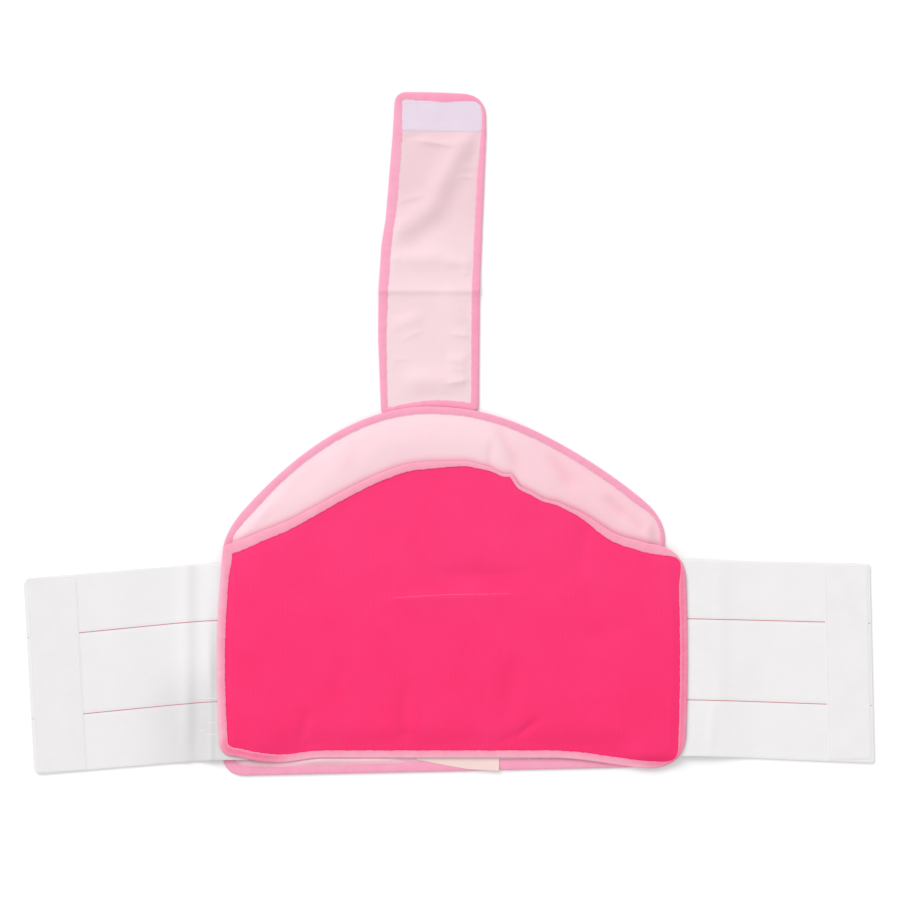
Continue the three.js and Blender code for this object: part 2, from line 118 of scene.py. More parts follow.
# %% Outlines with rounded corners
Outline = namedtuple("Outline", "sides radii")
SIDE_POINTS = 400
CORNER_POINTS = 33


def blend(start, end, t):
    """Straight change from start to end: start plus t times the difference."""
    return start + (end - start) * t


def rows_of(*columns):
    """Columns of numbers side by side, with a single number repeated down its column."""
    return np.stack(np.broadcast_arrays(*columns), axis=-1).astype(float)


def chord(side):
    """Straight distance between the two ends of a side."""
    first, last = side(np.array([0.0, 1.0]))
    return np.linalg.norm(last - first)


def outline_between(left, right, low, high, radii):
    """Four sides, anticlockwise: the edge low(x), a straight right end, the edge high(x) and a straight
    left end."""
    across = lambda t: blend(left, right, t)
    bottom = lambda t: rows_of(across(t), low(across(t)))
    right_end = lambda t: rows_of(right, blend(low(right), high(right), t))
    top = lambda t: rows_of(across(1 - t), high(across(1 - t)))
    left_end = lambda t: rows_of(left, blend(high(left), low(left), t))
    return Outline([bottom, right_end, top, left_end], radii)


def rounded_corner(before, after, radius):
    """Curve (1 - t)^2 A + 2 t (1 - t) C + t^2 B over the corner C where two sides meet."""
    t = np.linspace(0, 1, CORNER_POINTS)[:, None]
    start = before(np.array([1 - radius / chord(before)]))
    corner = after(np.array([0.0]))
    end = after(np.array([radius / chord(after)]))
    return (1 - t) ** 2 * start + 2 * t * (1 - t) * corner + t**2 * end


def rounded_side(outline, k):
    """Side k as a fine line of points, with its half of the corner at each end."""
    sides, radii = outline
    following = (k + 1) % 4
    start = radii[k] / chord(sides[k])
    end = 1 - radii[following] / chord(sides[k])
    half = CORNER_POINTS // 2
    first = rounded_corner(sides[k - 1], sides[k], radii[k])[half:]
    last = rounded_corner(sides[k], sides[following], radii[following])[: half + 1]
    middle = sides[k](np.linspace(start, end, SIDE_POINTS))
    return np.concatenate([first, middle[1:-1], last])


square = outline_between(0, 100, lambda x: 0, lambda x: 100, [5, 5, 5, 5])
print("one rounded side of a 100 mm square has", len(rounded_side(square, 0)), "points")

# %% [markdown]
# A cloth's grid needs points at chosen shares of each side, so the fine line of a side is measured
# along its length and read off again at those shares. One more share close to each end makes a cut
# edge look sharp, where even steps would round it off.

# %% Loops of points
EDGE_LIP = 0.15


def length_along(line):
    """Distance of each point of a line from its first point."""
    steps = np.linalg.norm(np.diff(line, axis=0), axis=1)
    return np.concatenate([[0], np.cumsum(steps)])


def points_at(line, places):
    """Points at given distances along a line, straight between the line's own points."""
    along = length_along(line)
    return np.stack([np.interp(places, along, column) for column in line.T], axis=-1)


def outline_loop(outline, across, along):
    """Anticlockwise loop of points: bottom and top have the shares across, right and left along."""
    shares = [across, along, 1 - across[::-1], 1 - along[::-1]]
    walked = []
    for k, share in enumerate(shares):
        line = rounded_side(outline, k)
        walked.append(points_at(line, share * length_along(line)[-1])[:-1])
    return np.concatenate(walked)


def even_shares(length, step):
    """Shares from 0 to 1 that are about a step apart on a side of that length."""
    return np.linspace(0, 1, round(length / step) + 1)


def edged_shares(length, step):
    """Even shares, and one more close to each end, so that a cut edge looks sharp."""
    lip = EDGE_LIP / length
    return np.concatenate([[0, lip], even_shares(length, step)[1:-1], [1 - lip, 1]])


tens = even_shares(100, 10)
print("the square's loop in steps of 10 mm has", len(outline_loop(square, tens, tens)), "points")

# %% [markdown]
# The tape and its stitches run at a set distance inside the edge. Scaling the outline would not
# keep that distance, so each side is moved along its own normal and trimmed at the corners, as a
# picture frame is mitred.

# %% Outlines moved inwards
T_STEP = 1e-3
MITRE_RADIUS = 1


def unit_rows(rows):
    """Each row of numbers divided by its own length."""
    return rows / np.linalg.norm(rows, axis=-1, keepdims=True)


def heading(side, t):
    """Direction of a side at t, from a point just before to a point just after."""
    return unit_rows(side(np.minimum(t + T_STEP, 1)) - side(np.maximum(t - T_STEP, 0)))


def moved_side(side, distance, start, end):
    """The stretch of a side from start to end, moved to its left by a distance."""

    def moved(t):
        at = blend(start, end, t)
        run = heading(side, at)
        return side(at) + distance * rows_of(-run[:, 1], run[:, 0])

    return moved


def inset_outline(outline, distance):
    """The outline moved inwards, with distance times tan(half the turn) trimmed at each corner."""
    sides, radii = outline
    ends = np.array([heading(side, np.array([0.0, 1.0])) for side in sides])
    before = np.roll(ends[:, 1], 1, axis=0)
    after = ends[:, 0]
    crossed = before[:, 0] * after[:, 1] - before[:, 1] * after[:, 0]
    trims = distance * np.tan(np.arctan2(crossed, (before * after).sum(axis=1)) / 2)
    moved = []
    for k, side in enumerate(sides):
        start = trims[k] / chord(side)
        end = 1 - trims[(k + 1) % 4] / chord(side)
        moved.append(moved_side(side, distance, start, end))
    return Outline(moved, np.maximum(np.array(radii) - distance, MITRE_RADIUS))


inner = inset_outline(square, 9)
print("the square moved in by 9 mm is", chord(inner.sides[0]).round(2), "mm wide")

# %% [markdown]
# A sheet of cloth is a grid stretched between the four sides of its loop, a Coons patch: blends of
# opposite sides, added up. A flat grid could be trimmed to the outline instead, but that would cut
# its squares across. Here the lines of the grid follow the edge, as threads follow a hem.

# %% Grids
def closed_line(line):
    """A loop of points with its first point again at the end."""
    return np.concatenate([line, line[:1]])


def coons_grid(loop, across, along):
    """Blend of bottom and top, plus blend of left and right, minus blend of the four corners.
    Rows of the grid run up the cloth and columns run across it."""
    n = len(across) - 1
    m = len(along) - 1
    closed = closed_line(loop)
    bottom = closed[: n + 1]
    right = closed[n : n + m + 1]
    top = closed[n + m : 2 * n + m + 1][::-1]
    left = closed[2 * n + m :][::-1]
    u = across[None, :, None]
    v = along[:, None, None]
    sides = blend(bottom[None], top[None], v) + blend(left[:, None], right[:, None], u)
    corners = blend(blend(bottom[0], bottom[-1], u), blend(top[0], top[-1], u), v)
    return sides - corners


def cloth_grid(outline, across, along):
    """Coons grid of an outline, and its x and its y as arrays of their own."""
    grid = coons_grid(outline_loop(outline, across, along), across, along)
    return (grid, *np.moveaxis(grid, 2, 0))


square_grid = cloth_grid(square, tens, tens)[0]
print("the middle of the square's grid lies at", square_grid[5, 5].round(1))

# %% [markdown]
# The grid is laid out twice, once for each face of the cloth, and the two are closed by a rim. A
# Solidify modifier would do that as well, but here the thickness can also change over the cloth.

# %% Closed sheets
def grid_faces(rows, columns, closed_rows=False, closed_columns=False):
    """Squares of a grid of vertex numbers; a closed direction joins its last line to its first."""
    i = np.arange(rows if closed_rows else rows - 1)[:, None]
    j = np.arange(columns if closed_columns else columns - 1)[None, :]
    up = (i + 1) % rows
    on = (j + 1) % columns
    corners = [i * columns + j, i * columns + on, up * columns + on, up * columns + j]
    return np.stack(np.broadcast_arrays(*corners), axis=-1).reshape(-1, 4)


def sheet_surface(grid, middle, half):
    """Closed sheet: the grid at middle plus half and at middle minus half, joined by a rim."""
    rows, columns = middle.shape
    count = rows * columns
    upper = np.dstack([grid, middle + half]).reshape(-1, 3)
    lower = np.dstack([grid, middle - half]).reshape(-1, 3)
    number = np.arange(count).reshape(rows, columns)
    walk = [number[0, :-1], number[:-1, -1], number[-1, :0:-1], number[:0:-1, 0]]
    border = np.concatenate(walk)
    following = np.roll(border, -1)
    rim = np.stack([border, border + count, following + count, following], axis=1)
    top = grid_faces(rows, columns)
    return np.concatenate([upper, lower]), np.concatenate([top, top[:, ::-1] + count, rim])


level = np.zeros(square_grid.shape[:2])
print("a sheet over the square has", len(sheet_surface(square_grid, level, level + 1)[1]), "faces")

# %% [markdown]
# Cloth is pressed thin where it goes into a tape, so each point has to know how far it lies from the
# border. Lengths along the lines of the grid are quickly added up, and where the border slants, such
# a length times the sine of the slant is the distance straight in.

# %% Distances from the border
SLANT_LEAST = 0.5


def slant(border, next_line):
    """Sine of the angle between a border and the grid lines that leave it, so that a length along
    such a line times this is the distance straight in from a slanting border."""
    run, inward = np.gradient(border, axis=0), next_line - border
    turn = run[:, 0] * inward[:, 1] - run[:, 1] * inward[:, 0]
    sine = np.abs(turn) / (np.linalg.norm(run, axis=1) * np.linalg.norm(inward, axis=1))
    return np.maximum(sine, SLANT_LEAST)


def border_distances(grid):
    """Distance of each grid point from the nearer side border and from the nearer end border."""
    left, right = slant(grid[:, 0], grid[:, 1])[:, None], slant(grid[:, -1], grid[:, -2])[:, None]
    low, high = slant(grid[0], grid[1]), slant(grid[-1], grid[-2])
    across = np.cumsum(np.linalg.norm(np.diff(grid, axis=1, prepend=grid[:, :1]), axis=2), axis=1)
    along = np.cumsum(np.linalg.norm(np.diff(grid, axis=0, prepend=grid[:1]), axis=2), axis=0)
    from_sides = np.minimum(across * left, (across[:, -1:] - across) * right)
    from_ends = np.minimum(along * low, (along[-1:] - along) * high)
    return from_sides, from_ends


inside = np.minimum(*border_distances(square_grid))
print("the middle of the square is", inside.max().round(1), "mm inside its border")

# %% [markdown]
# Arrays become an object in one step. Each vertex also keeps its place on the flat cloth, in
# metres, as a UV map called cloth: threads and ribs in the materials follow that map, so a weave
# runs along a tape round every corner instead of cutting straight across it. A second number on
# each vertex, called tint, makes the cloth paler or darker there; on most pieces it is painted light and
# painted shade.

# %% Arrays into pieces
def new_object(name, data):
    """Object at the origin that shows a mesh, a lamp or a camera, put into the scene."""
    made = bpy.data.objects.new(name, data)
    bpy.context.scene.collection.objects.link(made)
    return made


def add_piece(name, vertices, faces, material, cloth=None, cloth_faces=None, tint=0.0):
    """Object from vertices in millimetres. Its cloth map holds places that cloth_faces, or faces, number.
    Where no places are given, they are the vertices seen from above."""
    mesh = bpy.data.meshes.new(name)
    mesh.from_pydata(vertices * MM, [], faces)
    mesh.shade_smooth()
    places = vertices[:, :2] if cloth is None else cloth
    numbers = faces if cloth_faces is None else cloth_faces
    mesh.uv_layers.new(name="cloth").data.foreach_set("uv", (places[numbers.ravel()] * MM).ravel())
    tints = np.broadcast_to(tint, len(vertices)).astype(np.float32)
    mesh.attributes.new("tint", "FLOAT", "POINT").data.foreach_set("value", tints)
    mesh.materials.append(material)
    piece = new_object(name, mesh)
    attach(piece, "root")
    print(name, "has", len(vertices), "points and", len(faces), "faces")
    return piece


def dress(piece, node):
    """The piece stands for a solid of the frame, which is hidden."""
    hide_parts(node)
    return piece


# %% [markdown]
# The finishes come next. A colour is written as it shows in a picture of the band, from 0 to 255,
# and turned into a dye: the picture's curve is undone and the level of the light is taken out.
# Small helpers keep the node trees short enough to read.

# %% Dyes and node helpers
LIGHT_LEVEL = 1.12
VECTOR = "NodeSocketVector"
FLOAT = "NodeSocketFloat"


def dye(red, green, blue):
    """Base colour that shows as these values under the lamps: sRGB curve undone, over the level."""
    share = np.array([red, green, blue]) / 255
    linear = np.where(share <= 0.04045, share / 12.92, ((share + 0.055) / 1.055) ** 2.4)
    return (*np.minimum(linear / LIGHT_LEVEL, 1), 1)


def add_node(tree, kind, inputs=(), **settings):
    """Adds a node, sets its properties, and fills each input with a value or a link."""
    node = tree.nodes.new(kind)
    for name, value in settings.items():
        setattr(node, name, value)
    for name, value in dict(inputs).items():
        if isinstance(value, bpy.types.NodeSocket):
            tree.links.new(value, node.inputs[name])
        else:
            node.inputs[name].default_value = value
    return node


def calc(tree, operation, *values):
    """Result of one Math node."""
    return add_node(tree, "ShaderNodeMath", enumerate(values), operation=operation).outputs[0]


def new_group(name, inputs, output):
    """Empty shader group with named sockets: its tree, its input sockets and a way to set its result."""
    tree = bpy.data.node_groups.new(name, "ShaderNodeTree")
    for socket, kind in inputs.items():
        tree.interface.new_socket(name=socket, in_out="INPUT", socket_type=kind)
    tree.interface.new_socket(name=output, in_out="OUTPUT", socket_type=FLOAT)
    given = tree.nodes.new("NodeGroupInput").outputs
    result = tree.nodes.new("NodeGroupOutput").inputs[output]
    return tree, given, result


print("a mid grey of 128 is a dye of", round(dye(128, 128, 128)[0], 3))

# %% [markdown]
# Three patterns make all the cloths of the band. A plain weave has threads that pass over and
# under in both directions, ribs are parallel cords, and fibres are the fuzz and uneven dye of
# spun yarn. Each is a shader group, built once, and each cloth sets its own pitch and direction.

# %% Pattern groups
def weave_group():
    """Plain weave: half plus half of sin(pi x / pitch) times sin(pi y / pitch)."""
    tree, given, result = new_group("plain weave", {"Cloth": VECTOR, "Pitch": FLOAT}, "Height")
    place = add_node(tree, "ShaderNodeSeparateXYZ", {0: given["Cloth"]}).outputs
    rate = calc(tree, "DIVIDE", np.pi, given["Pitch"])
    warp = calc(tree, "SINE", calc(tree, "MULTIPLY", place["X"], rate))
    weft = calc(tree, "SINE", calc(tree, "MULTIPLY", place["Y"], rate))
    height = calc(tree, "MULTIPLY_ADD", calc(tree, "MULTIPLY", warp, weft), 0.5, 0.5)
    tree.links.new(height, result)
    return tree


def rib_group():
    """Ribs: half plus half of sin(2 pi d / pitch), where d is the distance along a direction."""
    inputs = {"Cloth": VECTOR, "Direction": VECTOR, "Pitch": FLOAT}
    tree, given, result = new_group("ribs", inputs, "Height")
    product = {0: given["Cloth"], 1: given["Direction"]}
    distance = add_node(tree, "ShaderNodeVectorMath", product, operation="DOT_PRODUCT").outputs["Value"]
    turns = calc(tree, "DIVIDE", calc(tree, "MULTIPLY", distance, 2 * np.pi), given["Pitch"])
    tree.links.new(calc(tree, "MULTIPLY_ADD", calc(tree, "SINE", turns), 0.5, 0.5), result)
    return tree


def fibre_group():
    """Fibres: soft noise whose grains are of a given size, in three finer and finer layers."""
    tree, given, result = new_group("fibres", {"Place": VECTOR, "Size": FLOAT}, "Tone")
    scale = calc(tree, "DIVIDE", 1.0, given["Size"])
    noise = {"Vector": given["Place"], "Scale": scale, "Detail": 3.0, "Roughness": 0.6}
    tree.links.new(add_node(tree, "ShaderNodeTexNoise", noise).outputs[0], result)
    return tree


WEAVE = weave_group()
RIBS = rib_group()
FIBRES = fibre_group()
print("pattern groups:", ", ".join(group.name for group in bpy.data.node_groups))

# %% [markdown]
# A cloth's finish puts patterns together. The mixed pattern is both the height of a bump and a
# tone, and the tone, moved by the tint of each place, runs from a shaded dye in the hollows to a
# lighter one on the raised threads, which are also the smoother ones.

# %% Cloth finish
Pattern = namedtuple("Pattern", "group settings share")


def weave(pitch, share):
    """A plain weave of that pitch, with its share in the mix."""
    return Pattern(WEAVE, {"Pitch": pitch * MM}, share)


def ribs(direction, pitch, share):
    """Ribs across a direction on the cloth, with their share in the mix."""
    return Pattern(RIBS, {"Direction": (*direction, 0), "Pitch": pitch * MM}, share)


def fibres(size, share):
    """Fibres or blotches of that size, with their share in the mix."""
    return Pattern(FIBRES, {"Size": size * MM}, share)


def cloth_finish(name, shade, light, patterns, relief, rough, specular=0.1, base=0.0):
    """Material whose patterns, added by their shares to a base tone, give colour, roughness and bump."""
    material = bpy.data.materials.new(name)
    material.use_nodes = True
    tree = material.node_tree
    cloth = add_node(tree, "ShaderNodeUVMap", uv_map="cloth").outputs["UV"]
    place = add_node(tree, "ShaderNodeTexCoord").outputs["Object"]
    tone = base
    for pattern in patterns:
        source = {"Place": place} if pattern.group is FIBRES else {"Cloth": cloth}
        made = add_node(tree, "ShaderNodeGroup", {**source, **pattern.settings}, node_tree=pattern.group)
        tone = calc(tree, "MULTIPLY_ADD", made.outputs[0], pattern.share, tone)
    tint = add_node(tree, "ShaderNodeAttribute", attribute_name="tint").outputs["Fac"]
    ramp = add_node(tree, "ShaderNodeValToRGB", {"Fac": calc(tree, "ADD", tone, tint)})
    ramp.color_ramp.elements[0].color = dye(*shade)
    ramp.color_ramp.elements[1].color = dye(*light)
    gloss = {"Value": tone, "To Min": rough[0], "To Max": rough[1]}
    bump = add_node(tree, "ShaderNodeBump", {"Height": tone, "Distance": relief * MM})
    shader = tree.nodes["Principled BSDF"].inputs
    tree.links.new(ramp.outputs["Color"], shader["Base Color"])
    tree.links.new(add_node(tree, "ShaderNodeMapRange", gloss).outputs[0], shader["Roughness"])
    tree.links.new(bump.outputs["Normal"], shader["Normal"])
    shader["Specular IOR Level"].default_value = specular
    print("finish:", name)
    return material


COTTON = cloth_finish(
    "pale pink cotton", (238, 204, 211), (255, 230, 234),
    [weave(0.55, 0.35), fibres(0.9, 0.3), fibres(28, 0.35)], relief=0.12, rough=(0.95, 0.85),
)

# %% [markdown]
# The other cloths are made in the same way. Padded cotton reaches a deeper pink at the dark end of
# its range, which the painted shade in its hollows uses; loop cloth is a dull pile, and a paler copy of it
# is a painted highlight; elastic has the strongest ribs, and the ribbon of the label is the smoothest of them
# all.

# %% Finishes of the other cloths
# Its dark end is reached only by the painted shade of the tint.
PADDED_COTTON = cloth_finish(
    "padded pink cotton", (247, 176, 193), (255, 231, 236),
    [weave(0.55, 0.2), fibres(0.9, 0.2), fibres(36, 0.2)], relief=0.2, rough=(0.95, 0.85), base=0.4,
)
LOOP = cloth_finish(
    "hot pink loop cloth", (254, 35, 98), (255, 70, 132),
    [ribs((1, 0), 1.3, 0.3), fibres(0.8, 0.35), fibres(40, 0.35)], relief=0.2, rough=(1.0, 0.9),
)
# Painted highlight: a paler copy of the loop cloth, for the lit top of the pressed fold.
PRESSED_HIGHLIGHT = cloth_finish(
    "loop cloth with painted highlight", (255, 78, 134), (255, 110, 158),
    [fibres(0.8, 0.6), fibres(14, 0.4)], relief=0.1, rough=(0.9, 0.7),
)
ELASTIC = cloth_finish(
    "white ribbed elastic", (197, 194, 196), (250, 248, 249),
    [ribs((0, 1), 1.1, 0.16), weave(0.9, 0.09), fibres(1.0, 0.07), fibres(33, 0.13)],
    relief=0.36, rough=(0.85, 0.7), base=0.55,
)
LABEL = cloth_finish(
    "cream label ribbon", (243, 206, 200), (255, 233, 229),
    [ribs((0, 1), 0.4, 0.4), fibres(0.6, 0.2), fibres(15, 0.4)],
    relief=0.06, rough=(0.6, 0.4), specular=0.4,
)

# %% [markdown]
# Binding tape, hook tape and thread come in several colours each, so the patterns of each kind are
# set once, in a function, and a colour is one line.

# %% Finishes of tapes and threads
def tape_finish(name, shade, light):
    """Binding tape: slanting ribs with a little fuzz and soft blotches."""
    patterns = [ribs((0.8, 0.6), 0.8, 0.18), fibres(1.1, 0.1), fibres(14, 0.22)]
    return cloth_finish(name, shade, light, patterns, relief=0.28, rough=(0.8, 0.62), base=0.25)


def hook_finish(name, shade, light, blotch):
    """Hook tape: a plain weave, smooth for a cloth, with blotches of a given size."""
    patterns = [weave(0.8, 0.3), fibres(0.7, 0.3), fibres(blotch, 0.4)]
    return cloth_finish(name, shade, light, patterns, relief=0.1, rough=(0.6, 0.45), specular=0.2)


def thread_finish(name, shade, light, rough=(0.7, 0.5), twist=(0.3, 0.6), fuzz=(0.5, 0.4)):
    """Thread: a slanting twist and fuzz, each given as a size and a share in the mix."""
    patterns = [ribs((0.7, 0.7), *twist), fibres(*fuzz)]
    return cloth_finish(name, shade, light, patterns, relief=0.05, rough=rough)


TAPE = tape_finish("pink binding tape", (246, 112, 154), (255, 206, 228))
FRONT_TAPE = tape_finish("lighter pink binding tape", (246, 93, 140), (255, 215, 231))
HOOK = hook_finish("white hook tape", (227, 225, 226), (252, 250, 251), blotch=26)
STRAP_HOOK = hook_finish("lilac white hook tape", (224, 207, 226), (250, 236, 248), blotch=18)
PINK_THREAD = thread_finish("pale pink thread", (252, 190, 210), (255, 228, 238))
ROSE_THREAD = thread_finish("rose thread", (248, 136, 172), (255, 176, 202))
WHITE_THREAD = thread_finish("white thread", (228, 226, 228), (251, 249, 250))
# Painted shade: the crimson thread draws the thin shadow line beside the front tape.
CRIMSON_SHADE_THREAD = thread_finish("crimson thread for painted shade", (226, 40, 96), (250, 60, 118), rough=(0.8, 0.6))
RED_THREAD = thread_finish(
    "red thread", (190, 94, 112), (228, 150, 162), rough=(0.75, 0.55), twist=(0.4, 0.5), fuzz=(0.8, 0.5)
)

# %% [markdown]
# The edges are bound with a tape that is folded over the cloth, so its section is a C with a blunt
# nose. Each point of the section is a share of the tape's width inwards from the edge and a rise
# from the middle of the cloth. A bevelled curve would make a round tube, but a section of its own
# has a flat face, and a tuck along the seam.

# %% Section of the tape
TAPE_HALF = 1.2
TAPE_SLOPE = 0.3
TAPE_TUCK = 0.44
TAPE_SLOT = 0.44
TAPE_BLUNT = 3.2
NOSE_TURNS = np.radians(np.arange(0, 90, 10))
TUCK_SHARES = np.array([0.76, 0.84, 0.9, 0.95, 0.98, 1])
SLOT_SHARES = np.array([0.97, 0.2, 0.2, 0.97])
SLOT_RISES = TAPE_SLOT * np.array([-1, -1, 1, 1])


def tape_rise(share):
    """Rise of the tape's face at a share of its width: a blunt oval, a slow slope and a last tuck."""
    oval = (1 - (1 - share) ** TAPE_BLUNT) ** (1 / TAPE_BLUNT)
    return TAPE_HALF * oval - TAPE_SLOPE * share**2 - TAPE_TUCK * share**8


def tape_section():
    """C section as shares inwards and rises: upper face to the nose, lower face back, then the slot."""
    nose = 1 - np.cos(NOSE_TURNS) ** (2 / TAPE_BLUNT)
    share = np.concatenate([nose, TUCK_SHARES])
    rise = tape_rise(share)
    shares = np.concatenate([share[::-1], share[1:], SLOT_SHARES])
    rises = np.concatenate([rise[::-1], -rise[1:], SLOT_RISES])
    return shares, rises


print("the tape's section has", len(tape_section()[0]), "points")

# %% [markdown]
# The section is carried round the outline. The tape's width changes a little from place to place, as
# it does when it is fed by hand, and the seam's gathers make it swell and sink.

# %% Binding tape
Tape = namedtuple("Tape", "outer inward rim width swell along")
TAPE_WIDTH = 9
TAPE_STEP = 1.5
TAPE_SWELL = 0.14
TAPE_WANDER = 0.05


def lay_tape(outline, across, along, rim, width):
    """The tape's path: outer edge, inward direction, width and swell at each point round it, and the
    rim(x, y) that it lies on."""
    outer = outline_loop(outline, across, along)
    inner = outline_loop(inset_outline(outline, TAPE_WIDTH), across, along)
    distance = length_along(closed_line(outer))
    wavy = gather(distance[:-1])
    local = width(*outer.T) * (1 + TAPE_WANDER * np.roll(wavy, len(wavy) // 3))
    return Tape(outer, (inner - outer) / TAPE_WIDTH, rim, local, 1 + TAPE_SWELL * wavy, distance)


def tape_lines(tape, shares, rises):
    """Points at outer edge plus inward times share times width, at their rim plus rise times swell."""
    reach = np.multiply.outer(tape.width, shares)
    place = tape.outer[:, None] + tape.inward[:, None] * reach[..., None]
    height = tape.rim(*np.moveaxis(place, 2, 0)) + np.multiply.outer(tape.swell, rises)
    return np.dstack([place, height])


def add_tape(name, tape, material, tint):
    """Closed tape: the C section at every point of its path, with tint(x, y, share)."""
    shares, rises = tape_section()
    lines = tape_lines(tape, shares, rises)
    count, around = lines.shape[:2]
    tints = np.broadcast_to(tint(*tape.outer.T[..., None], shares), (count, around)).ravel()
    girth = length_along(closed_line(lines[0]))
    cloth = rows_of(tape.along[:, None], girth[None, :]).reshape(-1, 2)
    faces = grid_faces(count, around, True, True)
    unrolled = grid_faces(count + 1, around + 1)
    return add_piece(name, lines.reshape(-1, 3), faces, material, cloth, unrolled, tints)


even = lambda x, y: TAPE_WIDTH + 0 * x
print("a tape round the square is", lay_tape(square, tens, tens, even, even).along[-1].round(1), "mm long")

# %% [markdown]
# Stitches are short beads of thread, and the hooks of hook tape are bent wires. Both are thin tubes: a
# ring of points about each point of a path, with a flat cap at both ends. There are thousands of
# them, so all the copies of a shape are one mesh, made by one multiplication of arrays.

# %% Wires and copies
def triangles(faces):
    """Four-cornered faces as pairs of triangles."""
    return np.concatenate([faces[:, :3], faces[:, [0, 2, 3]]])


def tube_faces(rings, sides):
    """Triangles of a tube whose rings turn left about its way, with a flat fan over each end."""
    body = triangles(grid_faces(rings, sides, closed_columns=True))
    fan = np.arange(1, sides - 1)
    start = np.stack([np.zeros_like(fan), fan + 1, fan], axis=1)
    end = start[:, ::-1] + (rings - 1) * sides
    return np.concatenate([body, start, end])


def wire(path, radii, sides):
    """Ring of points about each point of a path in the XZ plane, square to the path, with flat ends."""
    run = unit_rows(np.gradient(path, axis=0))
    turn = np.linspace(0, 2 * np.pi, sides, endpoint=False)
    lift = np.multiply.outer(radii, np.cos(turn))
    x = path[:, :1] - run[:, 1:] * lift
    z = path[:, 1:] + run[:, :1] * lift
    rings = np.dstack([x, np.multiply.outer(radii, np.sin(turn)), z]).reshape(-1, 3)
    return rings, tube_faces(len(path), sides)[:, ::-1]


def copies(shape, places, axes):
    """Origin plus x, y and z of a small shape along three axes, for every place at once."""
    vertices, faces = shape
    moved = places[:, None] + np.einsum("vk,pkc->pvc", vertices, axes)
    numbers = faces[None] + len(vertices) * np.arange(len(places))[:, None, None]
    return moved.reshape(-1, 3), numbers.reshape(-1, 3)


print("a tube of four rings of five points has", len(tube_faces(4, 5)), "faces")

# %% [markdown]
# Stitches hold the tape. A seam is the same bead again and again along a line, and each copy gets its
# own axes from the line's direction. A curve modifier would bend every bead, but thread that is
# pulled tight lies straight from one hole to the next.

# %% Seams
def stations(line, pitch):
    """Places at even steps along a line, with axes along it, across it and up from it."""
    count = int(length_along(line)[-1] / pitch)
    at = (np.arange(count) + 0.5) * pitch
    run = unit_rows(points_at(line, at + pitch / 4) - points_at(line, at - pitch / 4))
    across = unit_rows(np.cross([0, 0, 1], run))
    return points_at(line, at), np.stack([run, across, np.cross(run, across)], axis=1)


STITCH = {"pitch": 3.1, "length": 2.5, "radius": 0.26, "sides": 5}
STITCH_ENDS = np.array([-0.5, -0.4, 0.4, 0.5])
STITCH_SWELL = np.array([0.4, 1, 1, 0.4])
stitch_path = rows_of(STITCH_ENDS * STITCH["length"], 0)
STITCH_BEAD = wire(stitch_path, STITCH_SWELL * STITCH["radius"], STITCH["sides"])


def add_seam(name, lines, material):
    """One mesh of stitches along several lines of points."""
    places, axes = zip(*(stations(line, STITCH["pitch"]) for line in lines))
    beads = copies(STITCH_BEAD, np.concatenate(places), np.concatenate(axes))
    return add_piece(name, *beads, material)


print("one stitch has", len(STITCH_BEAD[1]), "faces")

# %% [markdown]
# Three pieces of the band are bound cloths: the strap and the two panels. One function makes each
# of them: the cloth, pressed thin where it goes into the tape and drawn into small gathers beside
# it, then the tape, then the seams on both faces.

# %% Bound cloth
CLOTH_INSET = 1
EDGE_HALF = 0.5
HEM = {"flat": 5, "full": 15}
GATHERS = {"rise": 0.5, "reach": 9, "lowest": -0.5}
SEAM_SHARE = 0.92
Plan = namedtuple("Plan", "outline step height half rim width finish gathers tint tape_tint")
Bound = namedtuple("Bound", "cloth tape seam path")
Finish = namedtuple("Finish", "cloth tape thread")


def side_shares(outline, step):
    """Even shares for the bottom and top of an outline, and for its right and left."""
    return [even_shares(chord(side), step) for side in outline.sides[:2]]


def add_cloth(name, plan):
    """Cloth at the plan's height(x, y), blended to its rim(x, y) at the edge, where it is pressed thin."""
    cut = inset_outline(plan.outline, CLOTH_INSET)
    grid, x, y = cloth_grid(cut, *side_shares(plan.outline, plan.step))
    from_sides, from_ends = border_distances(grid)
    loose = soft_step(np.minimum(from_sides, from_ends), HEM["flat"], HEM["full"])
    drawn = np.exp(-from_sides / GATHERS["reach"]) * gather(y)
    drawn += np.exp(-from_ends / GATHERS["reach"]) * gather(x)
    free = plan.height(x, y) + plan.gathers * GATHERS["rise"] * np.maximum(drawn, GATHERS["lowest"])
    middle = blend(plan.rim(x, y), free, loose)
    vertices, faces = sheet_surface(grid, middle, blend(EDGE_HALF, plan.half, loose))
    tint = np.tile(plan.tint(x, y).ravel(), 2)
    return add_piece(f"{name}_cloth", vertices, faces, plan.finish.cloth, tint=tint)


def add_bound_cloth(name, plan):
    """The cloth, the tape round its edge, and a seam on each face of the tape."""
    cloth = add_cloth(name, plan)
    path = lay_tape(plan.outline, *side_shares(plan.outline, TAPE_STEP), plan.rim, plan.width)
    tape = add_tape(f"{name}_tape", path, plan.finish.tape, plan.tape_tint)
    rise = tape_rise(SEAM_SHARE)
    seams = tape_lines(path, np.array([SEAM_SHARE, SEAM_SHARE]), np.array([rise, -rise]))
    lines = [closed_line(seams[:, face]) for face in range(2)]
    return Bound(cloth, tape, add_seam(f"{name}_stitches", lines, plan.finish.thread), path)


print("the seam runs", round(SEAM_SHARE * TAPE_WIDTH, 1), "mm inside the edge")

# %% [markdown]
# The strap goes over the shoulder and holds the band up. Soft cloth never lies quite straight, so its
# middle and its width change along its length. A short list of sections gives both, and the edges
# run straight from one section to the next.

